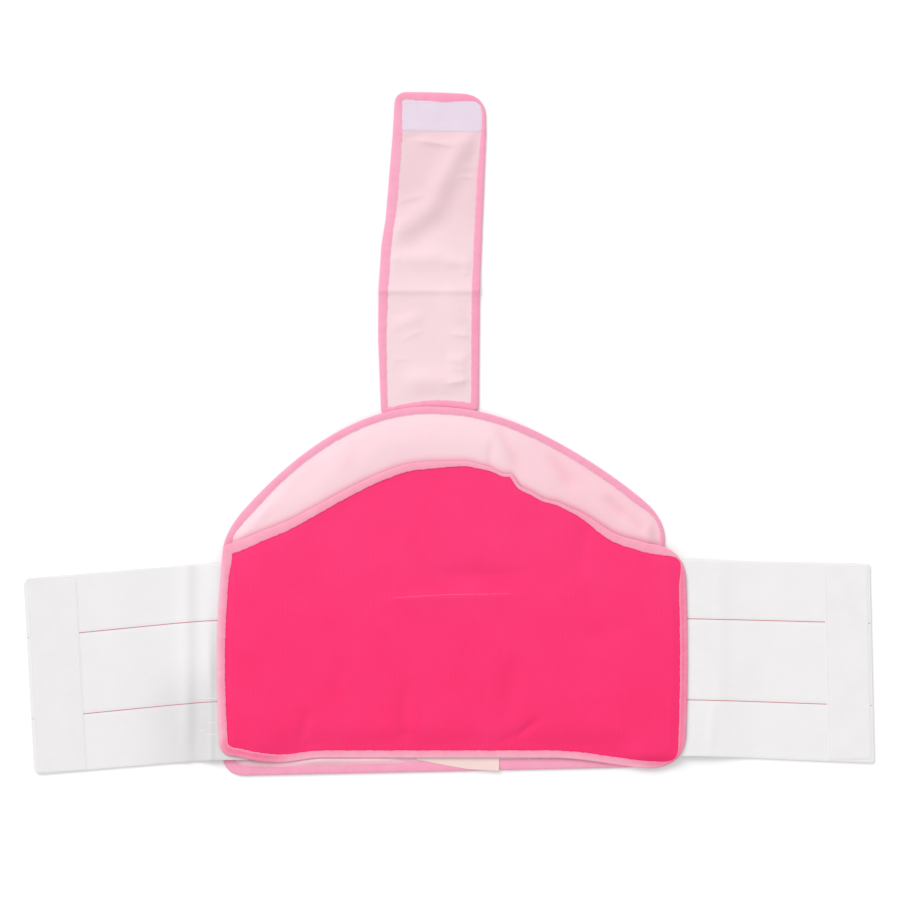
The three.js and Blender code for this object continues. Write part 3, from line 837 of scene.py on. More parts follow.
# %% Outline of the strap
Section = namedtuple("Section", "y middle half")
STRAP_SECTIONS = [
    Section(20, -19.6, 48.7),
    Section(95, -20.8, 50.5),
    Section(145, -20.4, 50.6),
    Section(190, -18.0, 50.0),
    Section(215, -15.5, 48.4),
    Section(300, -10.2, 46.6),
    Section(342.3, -9.3, 45.1),
]
STRAP = {"mid": 1.3, "half": 0.6, "foot_tilt": 2, "foot_bow": 7, "top_drop": 4}
STRAP_RADII = [8, 8, 21, 12]


def strap_side(y, sign):
    """Edge of the strap at y, straight between its sections: middle plus or minus half the width."""
    heights = [s.y for s in STRAP_SECTIONS]
    middle = np.interp(y, heights, [s.middle for s in STRAP_SECTIONS])
    return middle + sign * np.interp(y, heights, [s.half for s in STRAP_SECTIONS])


def strap_foot(t):
    """Lower edge: tilted, and bowed by a half wave."""
    return STRAP_SECTIONS[0].y + STRAP["foot_tilt"] * (2 * t - 1) + STRAP["foot_bow"] * np.sin(np.pi * t)


def strap_tip(t):
    """Upper edge: it drops with the cube of the distance from its left corner."""
    return STRAP_SECTIONS[-1].y - STRAP["top_drop"] * t**3


def strap_outline():
    """The four sides of the strap, from its sewn foot to its free tip."""
    foot = STRAP_SECTIONS[0]
    tip = STRAP_SECTIONS[-1]

    def side(sign, t):
        end = (1 + sign) / 2
        y = blend(strap_foot(end), strap_tip(end), t)
        return rows_of(strap_side(y, sign), y)

    bottom = lambda t: rows_of(foot.middle + foot.half * (2 * t - 1), strap_foot(t))
    top = lambda t: rows_of(tip.middle + tip.half * (1 - 2 * t), strap_tip(1 - t))
    return Outline([bottom, lambda t: side(1, t), top, lambda t: side(-1, 1 - t)], STRAP_RADII)


print("the strap is", chord(strap_outline().sides[1]).round(1), "mm long on its right side")

# %% [markdown]
# The strap is thin cotton, so it keeps every mark of being packed: one hard crease straight across, a
# broad slanting fold below the hook tape, and small creases drawn in by the seams.

# %% Folds of the strap
STRAP_LOOSE = {"from": 30, "to": 305, "fade": 14}
STRAP_CREASE = {"y": 143.2, "above": 7, "below": 2.8, "rise": 1.6}
STRAP_FOLDS = [
    Fold(1, 268, 63, 42, 11, 2.8),
    Fold(17, 258, 63, 34, 9, -0.7),
    Fold(-32, 217, 34, 30, 12, 2.8),
    Fold(-22, 201, 34, 28, 11, -0.8),
    Fold(-36, 300, 8, 14, 5, -1.0),
    Fold(-26, 176, 3, 30, 9, 1.5),
    Fold(12, 171, -10, 17, 6, 1.2),
    Fold(3, 128, -65, 18, 9, 1.2),
    Fold(-42, 113, 20, 15, 7, 1.1),
    Fold(-16, 54, 0, 30, 11, 2.2, 11),
    Fold(12, 76, 12, 15, 6, 0.6),
]
STRAP_CREASES = [
    Fold(-14, 291, -9, 18, 5, 1.5, 2.4),
    Fold(-38, 236, 14, 12, 4, 0.8, 2.2),
    Fold(19, 257, -3, 9, 3, 0.7, 2.0),
    Fold(20, 266, 2, 8, 3, 0.6, 2.0),
    Fold(20, 161, -4, 8, 3, 0.6, 1.8),
    Fold(12, 99, -6, 11, 5, 0.9, 2.2),
    Fold(-38, 99, 23, 10, 5, 0.6, 2.4),
    Fold(12, 53, 8, 14, 3, 1.2, 2.2),
    Fold(9, 65, -10, 9, 4, 0.7, 2.0),
    Fold(6, 73, -20, 9, 5, 0.6, 2.6),
    Fold(-48, 75, 2, 9, 4, 0.5, 2.0),
    Fold(-57, 176, -6, 8, 3, 0.5, 1.8),
]


def strap_rim(x, y):
    """Height of the strap's edge: level, with one sharp ridge, steep below and long above."""
    away = y - STRAP_CREASE["y"]
    width = np.where(away > 0, STRAP_CREASE["above"], STRAP_CREASE["below"])
    drop = np.hypot(away / width, CREST_ROUND) - CREST_ROUND
    return STRAP["mid"] + STRAP_CREASE["rise"] * np.exp(-drop)


def strap_height(x, y):
    """Height of the strap's middle: its rim, plus its folds where it is free of the sewn ends."""
    start = soft_step(y, STRAP_LOOSE["from"], STRAP_LOOSE["from"] + STRAP_LOOSE["fade"])
    end = 1 - soft_step(y, STRAP_LOOSE["to"] - STRAP_LOOSE["fade"], STRAP_LOOSE["to"])
    folds = fold_height(STRAP_FOLDS, x, y) + fold_height(STRAP_CREASES, x, y, sharp=True)
    return strap_rim(x, y) + start * end * folds


print("the crease of the strap rises to", strap_rim(0.0, STRAP_CREASE["y"]).round(1), "mm")

# %% [markdown]
# The strap's tape was fed by hand: it is wider on the left than on the right, and narrows towards the
# right end of the tip. Its tone, and the tone of the cotton, change a little along the strap.

# %% Strap
STRAP_TAPE = {
    "y": [20, 90, 150, 205, 260, 290, 330],
    "left": [6.8, 8.4, 10.2, 10.8, 10.4, 10, 9.2],
    "right": [8.0, 8.3, 8.2, 8.0, 7.4, 5.9, 3.4],
    "x": [-46, -30, -10, 8, 24, 33],
    "top": [7, 9.4, 10.9, 10, 7, 3.4],
}
STRAP_SPANS = {"right": (-50, 25), "tip": (330, 339), "upper": (180, 240), "above_crease": (120, 180)}
STRAP_TONES = {"upper": -0.35, "left_above": 0.06, "right_below": -0.04, "tip": -0.08}


def strap_tape_width(x, y):
    """Width from a table for each side and for the tip."""
    left, right = (np.interp(y, STRAP_TAPE["y"], STRAP_TAPE[side]) for side in ("left", "right"))
    tip = np.interp(x, STRAP_TAPE["x"], STRAP_TAPE["top"])
    sides = blend(left, right, soft_step(x, *STRAP_SPANS["right"]))
    return blend(sides, tip, soft_step(y, *STRAP_SPANS["tip"]))


def strap_tint(x, y):
    """The upper half has a darker tone, up to the hook tape."""
    return STRAP_TONES["upper"] * soft_step(y, *STRAP_SPANS["upper"])


def strap_tape_tint(x, y, share):
    """The tape is deeper below the crease on the right and at the tip, and a little paler above the
    crease on the left."""
    above = soft_step(y, *STRAP_SPANS["above_crease"])
    left = STRAP_TONES["left_above"] * above
    right = STRAP_TONES["right_below"] * (1 - above)
    tip = STRAP_TONES["tip"] * soft_step(y, *STRAP_SPANS["tip"])
    return blend(left, right, soft_step(x, *STRAP_SPANS["right"])) + tip


strap = add_bound_cloth("strap", Plan(
    outline=strap_outline(), step=1.25, height=strap_height, half=STRAP["half"], rim=strap_rim,
    width=strap_tape_width, finish=Finish(COTTON, TAPE, PINK_THREAD), gathers=0.8,
    tint=strap_tint, tape_tint=strap_tape_tint,
))
dress(strap.cloth, "strap")
dress(strap.tape, "strap_binding")

# %% [markdown]
# Two curves give the band its shape: the arch of the back panel and the bell of the front one. Each is
# a smooth formula with a few soft dips taken off it, which is easier to change than a row of points.
# Both are needed now, because the back panel swells between them.

# %% Edges of the two panels
Dip = namedtuple("Dip", "x depth reach lee", defaults=[None])
BACK = {"left": -227, "right": 215, "low_left": -341.3, "low_right": -332, "half": 1.0, "rim": 1.3}
ARCH = {"x": -20, "y": 28, "left": 0.003, "right": 0.00203}
ARCH_DIPS = [Dip(130, 2.8, 110)]
BELL = {"x": 3, "y": -22.5, "run": (262, 225), "drop": (92, 90)}
BELL_DIPS = [
    Dip(-190, -2, 40), Dip(0, 4, 52), Dip(40, 3.5, 26), Dip(54, 4, 15),
    Dip(72, 10.6, 12, 60), Dip(96, 2.3, 16), Dip(118, 1.5, 20), Dip(165, 2.5, 28),
]
FRONT = {
    "left": -229, "left_top": -226, "right": 235, "bottom": -323, "bulge_left": 4.9, "bulge_right": 2.5,
}
FRONT_BOTTOM_DIPS = [Dip(-228, -2.5, 34), Dip(-172, 4.5, 46), Dip(215, 11, 115)]


def dip_depth(dips, x):
    """Sum of the dips in an edge: depth times the squared cosine of the share of the reach.
    A lee is a reach of its own for the right-hand side of a dip."""
    total = np.zeros_like(x, dtype=float)
    for dip in dips:
        reach = np.where(x > dip.x, dip.lee or dip.reach, dip.reach)
        total += dip.depth * np.cos(np.pi / 2 * np.minimum(np.abs(x - dip.x) / reach, 1)) ** 2
    return total


def arch_y(x):
    """Upper edge of the back panel: two half parabolas that meet at the crest, less the dips."""
    away = x - ARCH["x"]
    steep = np.where(away < 0, ARCH["left"], ARCH["right"])
    return ARCH["y"] - steep * away**2 - dip_depth(ARCH_DIPS, x)


def bell_y(x):
    """Upper edge of the front panel: two half cosine waves that meet at the crest, less the dips."""
    away = x - BELL["x"]
    run = np.where(away < 0, *BELL["run"])
    drop = np.where(away < 0, *BELL["drop"])
    share = np.minimum(np.abs(away) / run, 1)
    return BELL["y"] - drop * (1 - np.cos(np.pi * share)) / 2 - dip_depth(BELL_DIPS, x)


def front_low(x):
    """Lower edge of the front panel: level, less its dips."""
    return FRONT["bottom"] - dip_depth(FRONT_BOTTOM_DIPS, x)


print("the roll is", (arch_y(0.0) - bell_y(0.0)).round(1), "mm wide at the middle")

# %% [markdown]
# The back panel is the one against the body. Its sides and its lower edge are straight and its top is
# the arch, so the edges worked out above are all that its outline needs.

# %% Outline of the back panel
BACK_RADII = [24, 24, 20, 20]


def back_low(x):
    """Lower edge of the back panel: straight from its left corner to its right one."""
    return np.interp(x, [BACK["left"], BACK["right"]], [BACK["low_left"], BACK["low_right"]])


def back_outline():
    """Straight sides and bottom, and the arch on top."""
    return outline_between(BACK["left"], BACK["right"], back_low, arch_y, BACK_RADII)


print("the back panel is", chord(back_outline().sides[0]).round(1), "mm wide below")

# %% [markdown]
# The arch of the back panel stands out above the front panel as a soft roll of padded cotton, so its
# height is a hump: a squared cosine down from its crest to the arch, and another one down under the
# front panel. The foot of the strap lies under it and lifts it.

# %% Lie of the back panel
FOOT = {"x": -20, "flat": 60, "ramp": 70, "top": 8, "bottom": -62, "height": 2.7}
BACK_FOLDS = [
    Fold(41, -22, 88, 14, 4, -1.0),
    Fold(60, -15, -63, 28, 6, -2.0),
    Fold(111, -35, -53, 22, 7, -2.0),
    Fold(168, -73, -42, 16, 6, -2.0),
    Fold(188, -89, -45, 10, 5, -1.3),
    Fold(-146, -45, 35, 22, 10, -0.7),
    Fold(-95, -22, 60, 18, 9, -0.6),
    Fold(-185, -85, 40, 20, 8, -0.5),
]
ROLL = {"height": 3.0, "crest": 0.35, "under": 0.7, "full_span": 40, "bend": 0.35}
LIP = {"below": 3.8, "width": 3.0, "height": 4.2}
LIP_SPAN = {"left": -212, "left_full": -192, "right_full": -62, "right": -42}


def foot_lift(x, y):
    """Lift of the back panel over the foot of the strap: full beside its middle and at its top."""
    beside = 1 - soft_step(np.abs(x - FOOT["x"]), FOOT["flat"], FOOT["flat"] + FOOT["ramp"])
    return FOOT["height"] * beside * soft_step(y, FOOT["bottom"], FOOT["top"])


def soft_peak(value, middle, width):
    """1 at the middle, and exp(-d squared) at d widths from it."""
    return np.exp(-(((value - middle) / width) ** 2))


def back_rim(x, y):
    """The bound edge lies on the table, and on the strap at its foot."""
    return BACK["rim"] + foot_lift(x, y)


def back_height(x, y):
    """Middle of the back panel: lift over the strap, plus the roll, lower at its ends, with its folds,
    plus a lip of padding that rises just below the front panel, left of the label."""
    span = arch_y(x) - bell_y(x)
    share = (y - bell_y(x)) / span
    above = (share - ROLL["crest"]) / (1 - ROLL["crest"])
    below = (ROLL["crest"] - share) / (ROLL["crest"] + ROLL["under"])
    roll = np.cos(np.pi / 2 * np.clip(np.maximum(above, below), 0, 1)) ** 2
    folds = fold_height(BACK_FOLDS, x, y) + ROLL["bend"] * slow_bend(x, y)
    full = ROLL["height"] * soft_step(span, 0, ROLL["full_span"])
    along = soft_step(x, LIP_SPAN["left"], LIP_SPAN["left_full"])
    along -= soft_step(x, LIP_SPAN["right_full"], LIP_SPAN["right"])
    lip = LIP["height"] * along * soft_peak(y, front_low(x) - LIP["below"], LIP["width"])
    return BACK["half"] + foot_lift(x, y) + roll * (full + folds) + lip


print("the roll rises to", back_height(0.0, 0.0).round(1), "mm at the middle")

# %% [markdown]
# The back tape is narrower along the arch than below. The cotton is painted with shade in its hollows,
# beside the bell of the front panel and along its lower edge below the front panel, and it has a deeper
# tone in the right half of the roll. Painting that by hand would not follow a change of the edge, so the
# tint is worked out from the same curves.

# %% Back panel
BACK_TAPE = {"below": 11, "arch_left": 10, "arch": 7.8, "right_cut": 3.2}
# hollows, beside and low are painted shade; right is the deeper tone of the right half.
BACK_TONES = {"hollows": 0.08, "right": 0.21, "beside": 0.5, "low": 0.3}
BACK_SPANS = {
    "arch_left": (-222, -160), "arch": (-130, -110), "right_side": (190, 212),
    "right_half": (30, 130), "low": (312, 318),
}
BESIDE_WIDTH = 4


def back_tape_width(x, y):
    """Narrower along the arch than below, most of all down the right side."""
    arch = blend(BACK_TAPE["arch_left"], BACK_TAPE["arch"], soft_step(x, *BACK_SPANS["arch_left"]))
    width = blend(BACK_TAPE["below"], arch, soft_step(y, *BACK_SPANS["arch"]))
    return width - BACK_TAPE["right_cut"] * soft_step(x, *BACK_SPANS["right_side"])


def back_tint_and_shade(x, y):
    """Painted shade in the hollows of the roll, beside the front panel and below it, and a deeper tone in the
    right half of the roll.
    """
    tint = BACK_TONES["hollows"] * fold_height(BACK_FOLDS, x, y)
    tint -= BACK_TONES["right"] * soft_step(x, *BACK_SPANS["right_half"])
    tint -= BACK_TONES["beside"] * soft_peak(y, bell_y(x), BESIDE_WIDTH)
    return tint - BACK_TONES["low"] * soft_step(-y, *BACK_SPANS["low"])


def even_tint(x, y, share):
    """No change of tone anywhere."""
    return 0.0


back = add_bound_cloth("back", Plan(
    outline=back_outline(), step=2.0, height=back_height, half=BACK["half"], rim=back_rim,
    width=back_tape_width, finish=Finish(PADDED_COTTON, TAPE, PINK_THREAD), gathers=0.6,
    tint=back_tint_and_shade, tape_tint=even_tint,
))
dress(back.cloth, "back_panel")
dress(back.tape, "back_binding")

# %% [markdown]
# The wings are wide white elastic that wraps round the waist. Each one is sewn in between the panels and
# bends a little towards its end. A point of a wing is given by how far out it lies and by its share of
# the half width, so one function serves the outline, the red lines and the hook tape.

# %% Outline of the wings
Wing = namedtuple(
    "Wing", "name out y root lifted ramp bend end fall slant flare corner crest patch drift tone patch_tone"
)
WINGS = [
    Wing(
        "left", -1, y=-226.6, root=201, lifted=231, ramp=26, bend=240, end=420.6, fall=0.0845, slant=-0.056,
        flare=0, corner=8, crest=1.9, patch=50, drift=2.2, tone=0.02, patch_tone=0.12,
    ),
    Wing(
        "right", 1, y=-222.9, root=201, lifted=240, ramp=70, bend=240, end=422.3, fall=0.0315, slant=-0.023,
        flare=1.6, corner=3, crest=0.5, patch=43.5, drift=0, tone=0.1, patch_tone=0.28,
    ),
]
WING = {
    "half_width": 98, "half": 0.9, "ease": 20, "lift": 3.9, "root_corner": 1, "step_out": 1.6, "step_up": 1.4,
}


def wing_axis(wing, reach):
    """Height of a wing's middle line at a distance out, and how far its cross direction has turned."""
    past = reach - wing.bend
    eased = np.hypot(past, WING["ease"])
    return wing.y - wing.fall * (past + eased) / 2, wing.slant * (1 + past / eased) / 2


def wing_point(wing, reach, share):
    """Point of a wing at a distance out and a share of its half width, which may grow towards its end."""
    middle, turned = wing_axis(wing, reach)
    off = share * (WING["half_width"] + wing.flare * soft_step(reach, wing.bend, wing.end))
    return rows_of(wing.out * reach + turned * off, middle + off)


def wing_outline(wing):
    """The four sides of a wing, anticlockwise, with its outer corners cut round."""
    ends = (wing.root, wing.end) if wing.out > 0 else (wing.end, wing.root)
    reach = lambda t: blend(*ends, t)
    bottom = lambda t: wing_point(wing, reach(t), -1)
    right = lambda t: wing_point(wing, reach(1) + 0 * t, 2 * t - 1)
    top = lambda t: wing_point(wing, reach(1 - t), 1)
    left = lambda t: wing_point(wing, reach(0) + 0 * t, 1 - 2 * t)
    root, end = WING["root_corner"], wing.corner
    radii = [root, end, end, root] if wing.out > 0 else [end, root, root, end]
    return Outline([bottom, right, top, left], radii)


for wing in WINGS:
    print("the", wing.name, "wing is", chord(wing_outline(wing).sides[0]).round(1), "mm long below")

# %% [markdown]
# A wing comes down a ramp from between the panels to the table, with a low crest beside the panel and a
# few soft folds. A groove runs along it for each of its two red lines, so that the thread has a bed.

# %% Lie of the wings
WING_CREST = {"at": 31, "width": 8, "fade_from": 285, "fade_to": 322, "fade": 0.7}
WING_LINE = {"from_middle": 40.5, "shift": -1.25, "depth": 0.3, "width": 1.5, "proud": 0.1, "short": 0.6}
WING_FOLDS = [
    Fold(-262, -285, 90, 42, 6, 0.5),
    Fold(-240, -290, 86, 40, 5, -0.6),
    Fold(262, -293, 88, 24, 5, 0.7),
    Fold(300, -200, 84, 50, 14, 0.4),
    Fold(-330, -230, 95, 70, 16, 0.4),
]


def wing_height(wing, x, y):
    """Middle of a wing: a ramp up to its root, a crest before it that fades downwards, and soft folds."""
    past = wing.out * x - wing.lifted
    ramp = WING["lift"] * (1 - soft_step(past, 0, wing.ramp))
    crest = wing.crest * soft_peak(past, WING_CREST["at"], WING_CREST["width"])
    crest *= 1 - WING_CREST["fade"] * soft_step(-y, WING_CREST["fade_from"], WING_CREST["fade_to"])
    return WING["half"] + ramp + crest + np.maximum(fold_height(WING_FOLDS, x, y), -ramp / 2)


def line_offset(wing, reach, sign):
    """How far a red line runs from a wing's middle: it drifts up a little towards the root."""
    start = wing.end - wing.patch
    drift = wing.drift * np.minimum((start - reach) / (start - wing.lifted), 1)
    return sign * WING_LINE["from_middle"] + WING_LINE["shift"] + drift


def line_groove(wing, reach, from_middle):
    """Depth of the two grooves where a coloured line is woven in: a soft peak about each line."""
    lines = [line_offset(wing, reach, sign) for sign in (-1, 1)]
    return WING_LINE["depth"] * sum(soft_peak(from_middle, line, WING_LINE["width"]) for line in lines)


for wing in WINGS:
    root_height = wing_height(wing, wing.out * wing.root, wing.y)
    print("the root of the", wing.name, "wing lies", root_height.round(1), "mm up")

# %% [markdown]
# The rubber cords of a wing show as fine ribs along its length. The finish draws them, so the sheet can
# be smooth, but its edges are woven shut and get thin. The left wing lies in shade where it is pinched
# under the panel, and in the hollow below that, and this shade is painted into its tint.

# %% Wings
WING_EDGE = {"thin": 0.6, "from": -1, "reach": 1.5}
WING_SHADE = {"reach": 236, "width": 4.5, "from": 150, "full": 250, "depth": 0.5}
WING_HOLLOW_SHADE = {"near": 250, "far": 330, "from": 215, "full": 275, "depth": 0.3}


def wing_tint_and_shade(wing, x, y):
    """Tone of a wing: even on the right. On the left one, painted shade darkens the pinched strip where it
    comes out from under the panel, and the hollow beside the lower end of that strip."""
    reach = wing.out * x
    pinch = soft_peak(reach, WING_SHADE["reach"], WING_SHADE["width"])
    pinch *= soft_step(-y, WING_SHADE["from"], WING_SHADE["full"])
    hollow = 1 - soft_step(reach, WING_HOLLOW_SHADE["near"], WING_HOLLOW_SHADE["far"])
    hollow *= soft_step(-y, WING_HOLLOW_SHADE["from"], WING_HOLLOW_SHADE["full"])
    shade = np.maximum(WING_SHADE["depth"] * pinch, WING_HOLLOW_SHADE["depth"] * hollow)
    return wing.tone - (wing.out < 0) * shade


def add_wing(wing):
    """Sheet of elastic with thin edges and two grooves."""
    across = edged_shares(wing.end - wing.root, WING["step_out"])
    along = edged_shares(2 * WING["half_width"], WING["step_up"])
    grid, x, y = cloth_grid(wing_outline(wing), across, along)
    from_middle = y - wing_axis(wing, wing.out * x)[0]
    edge = np.minimum(*border_distances(grid))
    thin = blend(WING_EDGE["thin"], 1, soft_step(edge, WING_EDGE["from"], WING_EDGE["reach"]))
    sunk = line_groove(wing, wing.out * x, from_middle) / 2
    vertices, faces = sheet_surface(grid, wing_height(wing, x, y) - sunk, WING["half"] * thin - sunk)
    cloth = np.tile(rows_of(x, from_middle).reshape(-1, 2), (2, 1))
    tint = np.tile(wing_tint_and_shade(wing, x, y).ravel(), 2)
    return add_piece(f"{wing.name}_wing_elastic", vertices, faces, ELASTIC, cloth, tint=tint)


elastics = {wing.name: dress(add_wing(wing), f"{wing.name}_wing") for wing in WINGS}

# %% [markdown]
# Two red threads are woven into each wing, to help to set it level. A stripe in the material would
# look the same from far off, but a real thread is proud of the ribs, so an oval section is carried
# along a line on the elastic. It runs on under the hook tape and comes out at the very end.

# %% Red lines of the wings
THREAD = {"half_width": 0.38, "half_height": 0.2, "sides": 8, "step": 2.0, "end": 0.2}


def thread_surface(line):
    """Oval ring about each point of a line, level across it, small and closed at both ends."""
    across = unit_rows(np.cross([0, 0, 1], np.gradient(line, axis=0)))
    turn = np.linspace(0, 2 * np.pi, THREAD["sides"], endpoint=False)
    thick = np.ones(len(line))
    thick[[0, -1]] = THREAD["end"]
    wide = np.multiply.outer(thick * THREAD["half_width"], np.cos(turn))
    high = np.multiply.outer(thick * THREAD["half_height"], np.sin(turn))
    rings = line[:, None] + across[:, None] * wide[..., None] + np.array([0, 0, 1]) * high[..., None]
    return rings.reshape(-1, 3), tube_faces(len(line), THREAD["sides"])


def add_threads(name, lines, material):
    """Threads along several lines of points, as one mesh."""
    parts = [thread_surface(line) for line in lines]
    starts = np.cumsum([0] + [len(points) for points, _ in parts[:-1]])
    vertices = np.concatenate([points for points, _ in parts])
    faces = np.concatenate([numbers + start for (_, numbers), start in zip(parts, starts)])
    return add_piece(name, vertices, faces, material)


def add_red_lines(wing):
    """The two threads of a wing, just above the floor of their grooves."""
    count = round((wing.end - wing.root) / THREAD["step"])
    reach = np.linspace(wing.root, wing.end - WING_LINE["short"], count)
    lines = []
    for sign in (-1, 1):
        place = wing_point(wing, reach, line_offset(wing, reach, sign) / WING["half_width"])
        floor = wing_height(wing, *place.T) + WING["half"] - WING_LINE["depth"]
        lines.append(rows_of(*place.T, floor + WING_LINE["proud"]))
    return add_threads(f"{wing.name}_wing_red_lines", lines, RED_THREAD)


red_lines = {wing.name: add_red_lines(wing) for wing in WINGS}

# %% [markdown]
# Where the left wing comes out from under the panel it is pinched, and four of its rubber cords stand
# proud there and catch the light as short white lines. The ribs of the finish are all alike, so these
# four are laid on as threads, like the red lines.

# %% Bare cords of the left wing
BareCord = namedtuple("BareCord", "start end y")
BARE_CORDS = [
    BareCord(-250.5, -230, -263.7), BareCord(-241.6, -230, -288.2),
    BareCord(-250.0, -241.6, -295.9), BareCord(-241.6, -230, -299.7),
]
cord_lines = []
for cord in BARE_CORDS:
    x = np.arange(cord.start, cord.end, THREAD["step"])
    cord_lines.append(rows_of(x, cord.y, wing_height(WINGS[0], x, cord.y + 0 * x) + WING["half"]))
bare_cords = add_threads("left_wing_bare_cords", cord_lines, WHITE_THREAD)

# %% [markdown]
# Hook tape closes the band: a woven strip set with stiff little hooks, sewn on round its edge. The
# hooks are bent wires in staggered rows that face to and fro by turns. They are half a millimetre
# high, so three sides and a few bends are enough for each.

# %% Hooks
HOOK_TAPE = {
    "half": 0.1, "gap": 0.02, "corner": 3, "margin": 2.2, "seam": 1.3, "inset": 2.6, "edge": 0.8, "step": 2,
}
HOOK_WIRE = {"pitch": 1.5, "radius": 0.12, "sides": 3}
HOOK_BENDS = np.array([[0, -0.1], [0, 0.25], [0.14, 0.45], [0.4, 0.4]])
HOOK_TAPER = np.array([1.2, 1, 0.9, 0.6])
HOOK_SHAPE = wire(HOOK_BENDS, HOOK_WIRE["radius"] * HOOK_TAPER, HOOK_WIRE["sides"])
Patch = namedtuple("Patch", "x y width height turn base")


def turned(patch, x, y):
    """Points of a patch turned about its middle and moved to its place."""
    c, s = np.cos(patch.turn), np.sin(patch.turn)
    return rows_of(patch.x + c * x - s * y, patch.y + s * x + c * y)


def hook_places(patch):
    """Staggered rows of places inside the patch's margin, and the way that each row's hooks face."""
    free = np.array([patch.width, patch.height]) / 2 - HOOK_TAPE["margin"]
    columns = np.arange(-free[0], free[0], HOOK_WIRE["pitch"])
    lines = np.arange(-free[1], free[1], HOOK_WIRE["pitch"])
    odd = (np.arange(len(lines)) % 2)[:, None]
    x = columns[None, :] + odd * HOOK_WIRE["pitch"] / 2
    y = lines[:, None] + 0 * x
    return x.ravel(), y.ravel(), (1 - 2 * odd + 0 * x).ravel()


def patch_hooks(patch, top):
    """A hook at every place of a patch, each with its bend along its row."""
    x, y, facing = hook_places(patch)
    c, s = np.cos(patch.turn), np.sin(patch.turn)
    forward = facing[:, None] * np.array([c, s, 0])
    sideways = facing[:, None] * np.array([-s, c, 0])
    upward = np.tile([0.0, 0.0, 1.0], (len(x), 1))
    places = rows_of(*turned(patch, x, y).T, top)
    return copies(HOOK_SHAPE, places, np.stack([forward, sideways, upward], axis=1))


print("one hook has", len(HOOK_SHAPE[1]), "faces")

# %% [markdown]
# The strip under the hooks is a thin sheet with round corners. One patch lies across the end of each
# wing, square to that end, and one across the tip of the strap.

# %% Hook tape
def add_hook_tape(name, patch, finish, thread, tone=0.0):
    """The woven strip and its hooks as one mesh, and the seam round it as another."""
    right, high = patch.width / 2, patch.height / 2
    outline = outline_between(-right, right, lambda x: -high, lambda x: high, [HOOK_TAPE["corner"]] * 4)
    across, along = (edged_shares(size, HOOK_TAPE["step"]) for size in (patch.width, patch.height))
    _, x, y = cloth_grid(outline, across, along)
    half = np.full(x.shape, HOOK_TAPE["half"])
    strip, faces = sheet_surface(turned(patch, x, y), patch.base + half, half)
    top = patch.base + 2 * HOOK_TAPE["half"]
    hooks, hook_faces = patch_hooks(patch, top)
    vertices = np.concatenate([strip, hooks])
    numbers = np.concatenate([triangles(faces), hook_faces + len(strip)])
    # On the wings the tone is painted light: it makes the strip paler against the shade among its hooks.
    tape = add_piece(name, vertices, numbers, finish, tint=tone)
    line = outline_loop(inset_outline(outline, HOOK_TAPE["seam"]), across, along)
    seam = closed_line(rows_of(*turned(patch, *line.T).T, top))
    return tape, add_seam(f"{name}_stitches", [seam], thread)


def wing_patch(wing):
    """The patch near the end of a wing, square to its end."""
    reach = wing.end - HOOK_TAPE["inset"] - wing.patch / 2
    x, y = wing_point(wing, np.array([reach]), 0)[0]
    height = 2 * (WING["half_width"] - HOOK_TAPE["edge"])
    return Patch(x, y, wing.patch, height, -np.arctan(wing.slant), 2 * WING["half"] + HOOK_TAPE["gap"])


hook_tapes = {}
hook_seams = {}
for wing in WINGS:
    # The patch tone of a wing is painted light, to undo the shade among the hooks.
    made = add_hook_tape(f"{wing.name}_hook_tape", wing_patch(wing), HOOK, WHITE_THREAD, wing.patch_tone)
    hook_tapes[wing.name], hook_seams[wing.name] = made
    dress(hook_tapes[wing.name], f"{wing.name}_hook_patch")

strap_patch = Patch(
    x=-7.4, y=318.2, width=79.5, height=30, turn=-0.015, base=STRAP["mid"] + STRAP["half"] + HOOK_TAPE["gap"]
)
made = add_hook_tape("strap_hook_tape", strap_patch, STRAP_HOOK, STRAP_HOOK)
hook_tapes["strap"], hook_seams["strap"] = made
dress(hook_tapes["strap"], "strap_hook_patch")

# %% [markdown]
# A care label is caught in the lower edge, and a wedge of it shows between the panels. It is a bare
# piece of satin ribbon. Its lower side is bent at one place, where the panel above begins to cover it.

# %% Care label
LABEL_SIZE = {
    "left": -33, "right": 49.5, "top": -312, "corner": 0.5,
    "shallow": -325, "knee": 18, "low": -334.5, "tip": -336,
}
LABEL_LIE = {"height": 2.4, "half": 0.2, "step": 1.5}
LABEL_CURL = {"height": 0.5, "out": (20, 50), "down": (322, 336)}


def label_low(x):
    """Lower edge: straight to the knee, then straight to the tip."""
    at = [LABEL_SIZE["left"], LABEL_SIZE["knee"], LABEL_SIZE["right"]]
    return np.interp(x, at, [LABEL_SIZE["shallow"], LABEL_SIZE["low"], LABEL_SIZE["tip"]])


def label_outline():
    """A strip with a slanting lower edge."""
    top = lambda x: LABEL_SIZE["top"]
    radii = [LABEL_SIZE["corner"]] * 4
    return outline_between(LABEL_SIZE["left"], LABEL_SIZE["right"], label_low, top, radii)


def label_height(x, y):
    """Middle of the label: level, with its lower right corner curled up a little."""
    curled = soft_step(x, *LABEL_CURL["out"]) * soft_step(-y, *LABEL_CURL["down"])
    return LABEL_LIE["height"] + LABEL_CURL["height"] * curled


label_across = edged_shares(LABEL_SIZE["right"] - LABEL_SIZE["left"], LABEL_LIE["step"])
label_along = edged_shares(LABEL_SIZE["top"] - LABEL_SIZE["tip"], LABEL_LIE["step"])
label_grid, label_x, label_y = cloth_grid(label_outline(), label_across, label_along)
label_mid = label_height(label_x, label_y)
label_sheet = sheet_surface(label_grid, label_mid, np.full(label_mid.shape, LABEL_LIE["half"]))
label = add_piece("care_label_ribbon", *label_sheet, LABEL)
dress(label, "care_label")

